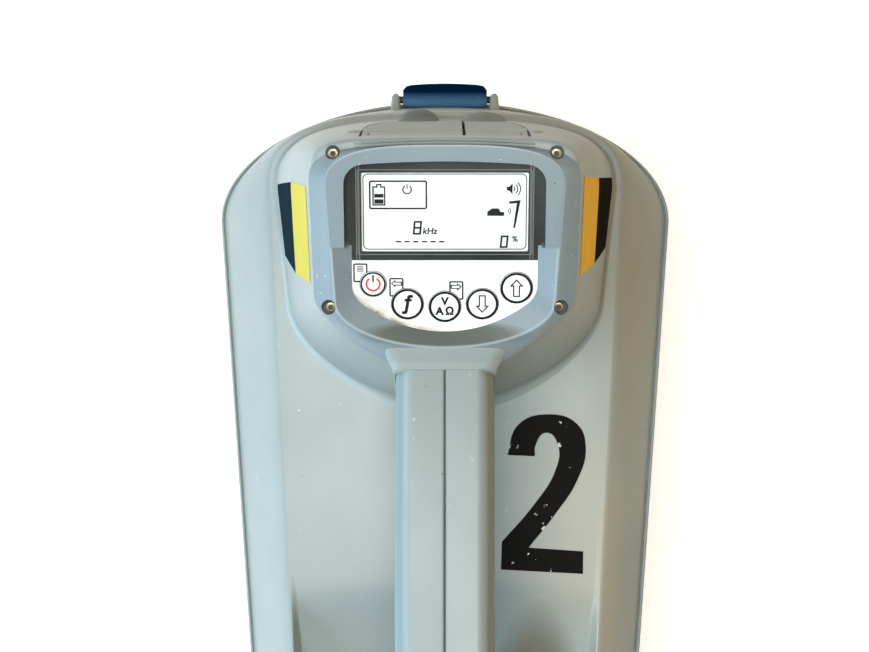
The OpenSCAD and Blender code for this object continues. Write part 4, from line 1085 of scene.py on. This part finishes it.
# %% Loft the latch across its width
LATCH_HALF, LATCH_BARREL, LATCH_SPLAY, SPLAY_DROP = 20, 3.8, 0.04, 40
LIP_ARCH, LIP_CORNER, CORNER_POWER, END_ROUND, END_POWER = 1.1, 1.3, 18, 0.8, 24
LIP_Y, LIP_DEEP = 312, 7
BARREL = around(PIN_Y, PIN_Z, LATCH_BARREL, span(math.radians(255), 0, 17))
BENT_PLATE = [(313, 112), (315, 104), (317.2, 95), (319, 87), (319.8, 82), (320, 78), (319.9, 72),
              (319.4, 66), (318.4, 61.6), (317, 60.2), (315.2, 60.4), (314, 62), (314.2, 68), (314.4, 76),
              (313.6, 84), (310.6, 96), (308.4, 106)]
rings = []
for x in span(-LATCH_HALF, LATCH_HALF, 24):
    u = abs(x) / LATCH_HALF
    pull = LIP_ARCH * u * u + LIP_CORNER * u ** CORNER_POWER
    inset = END_ROUND * u ** END_POWER
    ring = []
    for y, z in BARREL + BENT_PLATE:
        splay = 1 + LATCH_SPLAY * smooth((PIN_Z - z) / SPLAY_DROP)
        back = pull * smooth((y - LIP_Y) / LIP_DEEP) + (inset if y > PIN_Y else -inset)
        ring.append(Vector((x * splay, y - back, z - (inset if z > PIN_Z else 0))))
    rings.append(ring)
bm = bmesh.new()
solid_loft(bm, rings)
finish_piece(bm, "latch_skin", FINISH["latch"], "latch", ["latch"], sharp=50)

# %% [markdown]
# ## Flat shapes on the slope
# The display and the keypad carry thin print. Image textures would be the usual way, but small flat
# meshes stay sharp at any distance: a face is filled from its edges, a band is an inset face without
# its middle, and each set is extruded by a hair and laid on the slope.

# %% Faces, bands and bars
def rounded(x0, y0, x1, y1, r):
    points = []
    for k, middle in enumerate(((x1 - r, y1 - r), (x0 + r, y1 - r), (x0 + r, y0 + r), (x1 - r, y0 + r))):
        points += around(*middle, r, span(math.pi / 2 * k, math.pi / 2 * (k + 1), 6))
    return points


def face(bm, points):
    row = [bm.verts.new((x, y, 0)) for x, y in points]
    edges = [bm.edges.new((a, b)) for a, b in zip(row, row[1:] + row[:1])]
    return bmesh.ops.contextual_create(bm, geom=edges)["faces"][0]


def band(bm, points, width):
    whole = face(bm, points)
    bmesh.ops.inset_region(bm, faces=[whole], thickness=width, use_even_offset=True, use_boundary=True)
    bmesh.ops.delete(bm, geom=[whole], context="FACES_ONLY")


def bar(bm, x0, y0, x1, y1):
    face(bm, [(x0, y0), (x1, y0), (x1, y1), (x0, y1)])


PRINT_MERGE = 0.0005


def lay(bm, name, w, finish, body="housing", thick=0.03):
    flat = bm.faces[:]
    bmesh.ops.recalc_face_normals(bm, faces=flat)
    if sum(f.normal.z * f.calc_area() for f in flat) < 0:
        bmesh.ops.reverse_faces(bm, faces=flat)
    made = bmesh.ops.extrude_face_region(bm, geom=flat)["geom"]
    bmesh.ops.translate(bm, vec=(0, 0, thick), verts=[g for g in made if isinstance(g, bmesh.types.BMVert)])
    bmesh.ops.transform(bm, matrix=SLOPE @ Matrix.Translation((0, 0, w)), verts=bm.verts)
    finish_piece(bm, name, finish, body, merge=PRINT_MERGE)


print("points of a rounded box", len(rounded(0, 0, 2, 2, 0.5)))

# %% [markdown]
# ## The display
# Behind a glossy dark border lies a pale display. The border is the window's outline with a
# rectangle cut out of it. Thin pale lines are painted where the pane's edges catch the light: painted
# highlights. The display's face lies a little deeper, so that it is shaded as a real one is. One painted
# plane would lack that depth.

# %% Border, painted pane-edge highlights and display face
LCD = (-34.6, -1.3, 34.6, 32.4)
LCD_R, SIGHT_CUT = 0.6, (1, 6)
BORDER_LOW, BORDER_TOP, WINDOW_END, WINDOW_REACH = 2.6, 4.5, -4.9, -6
PANE_HIGHLIGHT_LINES, LINE_WIDE, LINE_LOW, LINE_HIGH = (-36.9, -35.7, 35.3, 36.5), 0.4, -4.6, 35.6
PANE_HIGHLIGHT_FRAME, PANE_STROKE, PANE_THICK = (-36.2, -2.7, 36.2, 33.8, 0.5), 0.35, 0.04
FACE_W, FACE_THICK, FACE = 2.65, 0.85, (-34.9, -1.6, 34.9, 32.7, 0.5)
window = [(x, max(y, WINDOW_END)) for x, y in opening(0) if y > WINDOW_REACH]
whole, sight = bmesh.new(), bmesh.new()
solid_loft(whole, [on_slope(window, w) for w in (BORDER_LOW, BORDER_TOP)])
solid_loft(sight, [on_slope(rounded(*LCD, LCD_R), w) for w in SIGHT_CUT])
bm = carve(mesh_of(whole, "whole"), [mesh_of(sight, "sight")])
finish_piece(bm, "window_border", FINISH["window"], "housing", ["display_window"])
# pale lines painted where the pane's edges catch the light: painted highlights
bm = bmesh.new()
for x in PANE_HIGHLIGHT_LINES:
    bar(bm, x, LINE_LOW, x + LINE_WIDE, LINE_HIGH)
band(bm, rounded(*PANE_HIGHLIGHT_FRAME), PANE_STROKE)
lay(bm, "window_edge_highlights", BORDER_TOP, FINISH["pane"], thick=PANE_THICK)
bm = bmesh.new()
face(bm, rounded(*FACE))
lay(bm, "display_face", FACE_W, FINISH["lcd"], thick=FACE_THICK)

# %% [markdown]
# ## Letters, arcs and arrows
# The symbols need a few more strokes. Arcs are a short edge turned with the spin operator, and letters
# are text objects made into a mesh before they are moved, because a text's place would not be kept.

# %% Helpers for symbols
ARROW = [(0, 5), (3.8, 0.8), (1.9, 0.8), (1.9, -5), (-1.9, -5), (-1.9, 0.8), (-3.8, 0.8)]
DEGREES_A_STEP, DIGIT_STROKE, DIGIT_LEAN = 8, 0.8, 0.25


def flat_mesh(data):
    carrier = bpy.data.objects.new("flat", data)
    bpy.context.scene.collection.objects.link(carrier)
    bpy.context.view_layer.update()
    mesh = bpy.data.meshes.new_from_object(carrier.evaluated_get(bpy.context.evaluated_depsgraph_get()))
    bpy.data.objects.remove(carrier)
    return mesh


def glyph(bm, text, size, x, y, weight, shear=0.0):
    data = bpy.data.curves.new("glyph", "FONT")
    data.body, data.size, data.shear, data.offset, data.resolution_u = text, size, shear, weight, 6
    data.align_x, data.align_y = "CENTER", "CENTER"
    mesh = flat_mesh(data)
    mesh.transform(Matrix.Translation((x, y, 0)))
    bm.from_mesh(mesh)


def arc(bm, x, y, r, width, start=0.0, turn=360.0):
    a = math.radians(start)
    radii = (r - width / 2, r + width / 2)
    ends = [bm.verts.new((x + q * math.cos(a), y + q * math.sin(a), 0)) for q in radii]
    bmesh.ops.spin(bm, geom=ends + [bm.edges.new(ends)], cent=(x, y, 0), axis=(0, 0, 1),
                   angle=math.radians(turn), steps=max(8, int(abs(turn) / DEGREES_A_STEP)),
                   use_merge=turn >= 360, use_duplicate=False)


def arrow(x, y, size, up):
    return [(x + a * size, y + b * size * up) for a, b in ARROW]


def digit(bm, x, y, wide, tall):
    band(bm, [(x + u * wide / 2 + DIGIT_LEAN * v, y + v * tall / 2) for u, v in CORNERS], DIGIT_STROKE)


print("points of an arrow", len(ARROW))

# %% [markdown]
# ## What the display shows
# The display shows plain working symbols: a charge gauge in a box, an on mark, a sounder, a vehicle, a
# frequency, a row of dashes and a percentage. Each stroke stands in a list with its own place on the
# slope, and a loop draws each list.

# %% Symbols on the display
SEGMENT_W = 3.5
GAUGE = [(-30, 18.2), (-24.6, 18.2), (-24.6, 26.4), (-26.2, 26.4), (-26.2, 27.4), (-28.4, 27.4),
         (-28.4, 26.4), (-30, 26.4)]
FRAMES = [(rounded(-34, -0.7, 34, 31.8, 2.2), 0.4), (rounded(-31.4, 16.6, -7.3, 28.9, 1), 0.7), (GAUGE, 0.6)]
STROKES = [(-29.2, 19, -25.4, 20.9), (-29.2, 21.6, -25.4, 23.2), (-15.82, 25.2, -15.38, 27.4),
           (-12.6, 8.3, -10.2, 9.1)]
DASHES, DASH_X, DASH_PITCH, DASH_WIDE, DASH_LOW, DASH_HIGH = 6, -20.4, 3.6, 2.2, 2.4, 3.05
starts = [DASH_X + DASH_PITCH * i for i in range(DASHES)]
STROKES += [(x, DASH_LOW, x + DASH_WIDE, DASH_HIGH) for x in starts]
ON_MARK = [(-15.6, 25, 1.75, 0.55, 120, 300)]
SOUND = [(27.6, 25.3, r, 0.45, -48, 96) for r in (1.3, 2.5, 3.7)]
SIGNAL = [(25.4, 15.8, r, 0.35, -45, 90) for r in (1, 1.9)]
SPEAKER = [(25.6, 24.6), (26.6, 24.6), (28, 23), (28, 27.6), (26.6, 26.2), (25.6, 26.2)]
VEHICLE = [(17.6, 13.8), (24.6, 13.8), (24.6, 15.4), (23, 15.6), (22.4, 17), (19.6, 17), (17.6, 15.6)]
SEVEN = [(26.6, 20), (31.4, 20.6), (29.2, 8.6), (28.4, 8.6), (29.8, 19.2), (26.6, 19)]
DIGITS = [(-11.4, 8.7, 3.5, 5.9), (24.7, 2.7, 3.3, 5.4)]
LETTERS = [("kHz", 3.7, -6.3, 7.2, 0.1, 0.15), ("%", 3.4, 29.2, 3.8, 0.1)]
bm = bmesh.new()
for points, width in FRAMES:
    band(bm, points, width)
for stroke in STROKES:
    bar(bm, *stroke)
for curve in ON_MARK + SOUND + SIGNAL:
    arc(bm, *curve)
for shape in (SPEAKER, VEHICLE, SEVEN):
    face(bm, shape)
for place in DIGITS:
    digit(bm, *place)
for letters in LETTERS:
    glyph(bm, *letters)
lay(bm, "display_segments", SEGMENT_W, FINISH["segment"])

# %% [markdown]
# ## Print on the keypad film
# Beside three of the keys the film has a small framed sign for the key's second use: a list and two
# sideways arrows. They are bands like those on the display, laid on the film's surface.

# %% Small framed signs
FILM_W, PRINT_THICK = 4.5, 0.025
SIGN_X, SIGN_Y, SIGN_R, SIGN_STROKE = 3, 4.1, 0.8, 0.65
LIST_SIGN, BACK_SIGN, NEXT_SIGN = (-35.3, -10.5), (-20.3, -16.8), (4.8, -18.2)
SIGN_ARROW, SIGN_ARROW_STROKE, ARROW_UP = 0.46, 0.45, 1.6
LIST_LEFT, LIST_RIGHT, LIST_Y, LIST_LINES, LIST_PITCH, LIST_STROKE = -36.8, -34, -8, 4, 0.65, 0.35
bm = bmesh.new()
for x, y in (LIST_SIGN, BACK_SIGN, NEXT_SIGN):
    band(bm, rounded(x - SIGN_X, y - SIGN_Y, x + SIGN_X, y + SIGN_Y, SIGN_R), SIGN_STROKE)
for i in range(LIST_LINES):
    low = LIST_Y - LIST_PITCH * i
    bar(bm, LIST_LEFT, low, LIST_RIGHT, low + LIST_STROKE)
for (x, y), way in ((BACK_SIGN, -1), (NEXT_SIGN, 1)):
    band(bm, [(x + way * b, y + ARROW_UP + a) for a, b in arrow(0, 0, SIGN_ARROW, 1)], SIGN_ARROW_STROKE)
lay(bm, "keypad_print", FILM_W, FINISH["ink"], thick=PRINT_THICK)

# %% [markdown]
# ## The keys
# Five satin white keys stand a hair above the film and travel square to it. Each cap is a loft of
# circles with a rounded edge, because its stem has to pass through the film. The ring, arrow or unit
# letters are a separate thin piece that rides on the same key, so the print moves with it.

# %% Keys with their legends
KEY_TOP, KEY_STEM, KEY_POINTS, RING_INSET = 5.1, [(3, -0.7), (3, 4.35)], 64, 0.52
KEY_EDGE = [(0, 4.35), (0, 4.75), (-0.12, 4.95), (-0.4, 5.06), (-0.8, KEY_TOP)]
KEY_INNER, KEY_CENTRE = 0.5, 0.01
# name, place on the slope, radius, width of the printed ring
KEYS = [("power", -30.03, -15.3, 5.46, 0.75), ("frequency", -15.71, -24, 6.7, 1),
        ("measure", 0, -25.2, 6.7, 1), ("down", 15.71, -24, 6.7, 1), ("up", 30.03, -17, 6.7, 1)]
POWER_HALF, POWER_LOW, POWER_HIGH, POWER_MARK = 0.35, 1, 4, (2.8, 0.85, 122, 296)
WAVE_SIZE, WAVE_UP, WAVE_WEIGHT = 8.4, 0.2, 0.3
UNITS, UNIT_SIZE, UNIT_WEIGHT = (("V", 0, 2.3), ("A", -2.2, -2), ("Ω", 2, -2)), 4.6, 0.22
KEY_ARROW, KEY_ARROW_STROKE = 0.78, 0.55


def legend(bm, name, x, y):
    if name == "power":
        bar(bm, x - POWER_HALF, y + POWER_LOW, x + POWER_HALF, y + POWER_HIGH)
        red = bmesh.new()
        arc(red, x, y, *POWER_MARK)
        lay(red, "key_power_mark", KEY_TOP, FINISH["red"], "power_key", PRINT_THICK)
    elif name == "frequency":
        glyph(bm, "ƒ", WAVE_SIZE, x, y + WAVE_UP, WAVE_WEIGHT)
    elif name == "measure":
        for letter, right, up in UNITS:
            glyph(bm, letter, UNIT_SIZE, x + right, y + up, UNIT_WEIGHT)
    else:
        band(bm, arrow(x, y, KEY_ARROW, 1 if name == "up" else -1), KEY_ARROW_STROKE)


for name, x, y, r, ring_wide in KEYS:
    profile = KEY_STEM + [(r + d, w) for d, w in KEY_EDGE]
    profile += [(r * KEY_INNER, KEY_TOP), (KEY_CENTRE, KEY_TOP)]
    cap, print_on = bmesh.new(), bmesh.new()
    loft(cap, [on_slope(around(x, y, q, circle(KEY_POINTS)), w) for q, w in profile])
    finish_piece(cap, "key_" + name + "_cap", FINISH["key"], name + "_key", ["key_" + name],
                 sharp=45)
    arc(print_on, x, y, r - RING_INSET, ring_wide)
    legend(print_on, name, x, y)
    lay(print_on, "key_" + name + "_legend", KEY_TOP, FINISH["ink"], name + "_key", PRINT_THICK)

# %% [markdown]
# ## Labels on the head
# Two plain two-coloured labels sit on the head's sides. A flat sheet would cut into the swelling side,
# so each label is a small grid whose points use the head's own outline at every height, moved out by
# a fraction of a millimetre.

# %% Lay the labels
LABEL_STEPS, LABEL_OUT = 12, 0.14
# finish, side of the head, and four corners: place along the head and share of its height
LABELS = {"label_left_upper": ("yellow", -1, (262, 0.54), (258.2, 0.9), (217.6, 0.9), (222.6, 0.47)),
          "label_left_lower": ("navy", -1, (264, 0.05), (262, 0.54), (222.6, 0.47), (231.6, 0.06)),
          "label_right_upper": ("orange", 1, (263.8, 0.54), (262, 0.9), (220.7, 0.89), (227, 0.48)),
          "label_right_lower": ("black", 1, (267, 0.05), (263.8, 0.54), (227, 0.48), (235.3, 0.06))}


def head_side(side, y, t):
    return Vector((side * half_at(grow(head_outline(t), LABEL_OUT), y), y, head_z(y, t)))


for name, (finish, side, a, b, c, d) in LABELS.items():
    shares = span(0, 1, LABEL_STEPS)
    columns = [(between(a, b, s), between(d, c, s)) for s in shares]
    grid = [[head_side(side, *between(front, back, u)) for front, back in columns] for u in shares]
    bm = bmesh.new()
    loft(bm, grid, closed=False)
    finish_piece(bm, name, FINISH[finish], "housing")

# %% [markdown]
# ## The unit number
# A large worn number is stuck on the deck. Its outline is a closed curve with few points, smooth
# where the stroke bends and sharp at its corners. It is made a mesh, cut into small pieces by planes,
# and each point is then set on the deck's height, so that it follows the crown.

# %% The number on the deck
SMOOTH, SHARP = "AUTO", "VECTOR"
NUMBER_X, NUMBER_Y, NUMBER_LIFT, CUT_PITCH = 46.6, 117.2, 0.12, 3
CUTS = (((1, 0, 0), 28, 64), ((0, 1, 0), 88, 158))
TWO = [(-17.8, 22.8, SHARP), (-13, 36.6, SMOOTH), (0.2, 41.5, SMOOTH), (14.4, 37, SMOOTH),
       (18.4, 26, SMOOTH), (14.3, 10.8, SMOOTH), (4.2, -4.6, SMOOTH), (-8, -19.9, SHARP),
       (17.2, -21.8, SHARP), (17.1, -32.2, SHARP), (-20.8, -30, SHARP), (-20.4, -17.2, SHARP),
       (-5.5, 0, SMOOTH), (4.2, 15.4, SMOOTH), (5.7, 26.6, SMOOTH), (0.3, 33, SMOOTH),
       (-5, 26.8, SMOOTH), (-5, 22.2, SHARP)]


def stencil(points):
    data = bpy.data.curves.new("stencil", "CURVE")
    data.dimensions, data.fill_mode, data.resolution_u = "2D", "BOTH", 8
    line = data.splines.new("BEZIER")
    line.bezier_points.add(len(points) - 1)
    line.use_cyclic_u = True
    for knot, (x, y, bend_kind) in zip(line.bezier_points, points):
        knot.co = (x, y, 0)
        knot.handle_left_type = knot.handle_right_type = bend_kind
    return flat_mesh(data)


bm = bmesh.new()
bm.from_mesh(stencil([(NUMBER_X + x, NUMBER_Y + y, kind) for x, y, kind in TWO]))
for axis, low, high in CUTS:
    for cut in range(low, high, CUT_PITCH):
        bmesh.ops.bisect_plane(bm, geom=bm.verts[:] + bm.edges[:] + bm.faces[:],
                               plane_co=[c * cut for c in axis], plane_no=axis)
for v in bm.verts:
    v.co.z = deck_z(v.co.x, v.co.y) + NUMBER_LIFT
finish_piece(bm, "unit_number", FINISH["number"], "housing")

# %% [markdown]
# ## Finishes for the solids that stay
# Screws, pins, sockets, seals, the pan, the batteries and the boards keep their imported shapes, which
# are already right. Rebuilding them would add nothing, so each only gets a material.

# %% Assign the remaining finishes
KEPT = {"foot": ["tray_feet"], "seal": ["pan_seal"], "lcd": ["lcd_panel"], "film": ["keypad_overlay"],
        "steel": ["tray_hinge_pin", "pan_screws", "dome_switches", "handle_screws", "battery_contacts",
                  "door_screws"],
        "pan": ["base_pan", "battery_door"], "board": ["control_board", "main_board"],
        # the steel latch pin gets the black finish, so that its ends read as the shade beside the latch:
        # painted shade
        "inner": ["latch_pin", "flap_pin", "lcd_frame", "sounder", "output_socket", "power_socket",
                  "coil_clips", "battery_case"],
        "core": ["transformer", "ferrite_rod"], "copper": ["coil_winding"], "cell": ["battery_cells"]}
for finish, names in KEPT.items():
    for name in names:
        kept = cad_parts[name].data
        kept.materials.clear()
        kept.materials.append(FINISH[finish])
print("kept solids", sum(len(n) for n in KEPT.values()))

# %% [markdown]
# ## The floor
# The transmitter lies on a pale sheet that is white on the left; its right part is painted warmer, a
# painted pool of warm light. A lit plane alone would turn grey, so the sheet glows a little for the camera
# and stays as bright as overexposed paper. Its left part glows for every ray, and lights that side of the
# object as sunlit paper would.

# %% Pale floor
FLOOR_HALF, FLOOR_ROUGH = 20, 0.9
WHITE_PAPER, WARM_LIGHT_PAINT, PAPER_GLOW = (0.95, 0.95, 0.94, 1), (0.93, 0.8, 0.6, 1), (1, 0.99, 0.96, 1)
WARM_LIGHT_FROM, GLOW_FROM, SEEN_GLOW, LEFT_GLOW = (0.0, 0.25), (-0.1, 0.0), 0.55, 0.6
paper, tree, bsdf = shader("pale floor")
across = node(tree, "ShaderNodeSeparateXYZ", [(0, object_place(tree))]).outputs[0]
# the right part of the sheet is painted warmer: a painted pool of warm light
warm = ranged(tree, across, *WARM_LIGHT_FROM, 0.0, 1.0)
tree.links.new(blend(tree, warm, WHITE_PAPER, WARM_LIGHT_PAINT), bsdf.inputs["Base Color"])
bsdf.inputs["Roughness"].default_value = FLOOR_ROUGH
bsdf.inputs["Emission Color"].default_value = PAPER_GLOW
seen = ranged(tree, node(tree, "ShaderNodeLightPath").outputs["Is Camera Ray"], 0.0, 1.0, 0.0, SEEN_GLOW)
glow = ranged(tree, across, *GLOW_FROM, LEFT_GLOW, 0.0)
tree.links.new(maths(tree, "MAXIMUM", seen, glow), bsdf.inputs["Emission Strength"])
bm = bmesh.new()
bmesh.ops.create_grid(bm, x_segments=1, y_segments=1, size=FLOOR_HALF)
floor_mesh = bpy.data.meshes.new("floor")
bm.to_mesh(floor_mesh)
bm.free()
floor_mesh.materials.append(paper)
floor = bpy.data.objects.new("floor", floor_mesh)
bpy.context.scene.collection.objects.link(floor)
print("floor", 2 * FLOOR_HALF, "m wide")

# %% [markdown]
# ## Light
# A broad soft light hangs overhead. A cooler window-like light comes from the left and a weak warm one
# from the right, which gives the grey plastic its blue and olive sides. The sky is a dim gradient between
# the same two tints. The overhead light stands off centre, so that the display doesn't mirror it.

# %% Soft lights and sky
COOL_SKY, WARM_SKY, SKY_SPAN = (0.28, 0.32, 0.36, 1), (0.1, 0.08, 0.05, 1), (-0.9, 0.9)
# name: place, target, size in metres, power in watts, colour
LIGHTS = {"overhead": ((-0.26, 0.1, 2.0), (0, 0.1, 0.1), 1.3, 34, (1.0, 1.0, 0.96)),
          "window_left": ((-1.7, -0.45, 0.75), (0, 0.1, 0.15), 1.1, 22, (0.52, 0.79, 1.0)),
          "warm_right": ((1.5, 0.2, 0.85), (0, 0.1, 0.15), 1.0, 3.0, (1.0, 0.66, 0.3))}
for name, (place, target, size, power, colour) in LIGHTS.items():
    data = bpy.data.lights.new(name, "AREA")
    data.shape, data.size, data.energy, data.color = "DISK", size, power, colour
    lamp = bpy.data.objects.new(name, data)
    bpy.context.scene.collection.objects.link(lamp)
    lamp.location = place
    lamp.rotation_euler = (Vector(target) - Vector(place)).to_track_quat("-Z", "Y").to_euler()
world = bpy.data.worlds.new("studio")
bpy.context.scene.world = world
world.use_nodes = True
sky = world.node_tree
toward = node(sky, "ShaderNodeSeparateXYZ", [(0, node(sky, "ShaderNodeTexCoord").outputs["Generated"])])
sky.links.new(blend(sky, ranged(sky, toward.outputs[0], *SKY_SPAN, 0.0, 1.0), COOL_SKY, WARM_SKY),
              sky.nodes["Background"].inputs[0])
print("lights", len(LIGHTS))

# %% [markdown]
# ## Camera
# The photograph looks straight down from about a metre. The focal length was found in picture pixels,
# from how much nearer the head is than the rim, and is turned into a lens for the sensor's width. The
# small shift is the distance of the object's middle from the picture's.

# %% Camera over the object
FRAME_PX, FOCAL_PX, SHIFT_PX, SENSOR_MM = 869, 2060, -11.06, 36
CAMERA_PLACE = (0.0003, 0.1994, 1.105)
data = bpy.data.cameras.new("camera")
data.sensor_width, data.lens = SENSOR_MM, SENSOR_MM * FOCAL_PX / FRAME_PX
data.shift_x = SHIFT_PX / FRAME_PX
camera = bpy.data.objects.new("camera", data)
bpy.context.scene.collection.objects.link(camera)
camera.location = CAMERA_PLACE
bpy.context.scene.camera = camera
bpy.context.scene.view_settings.view_transform = "Standard"
print("lens", round(data.lens, 2), "mm")
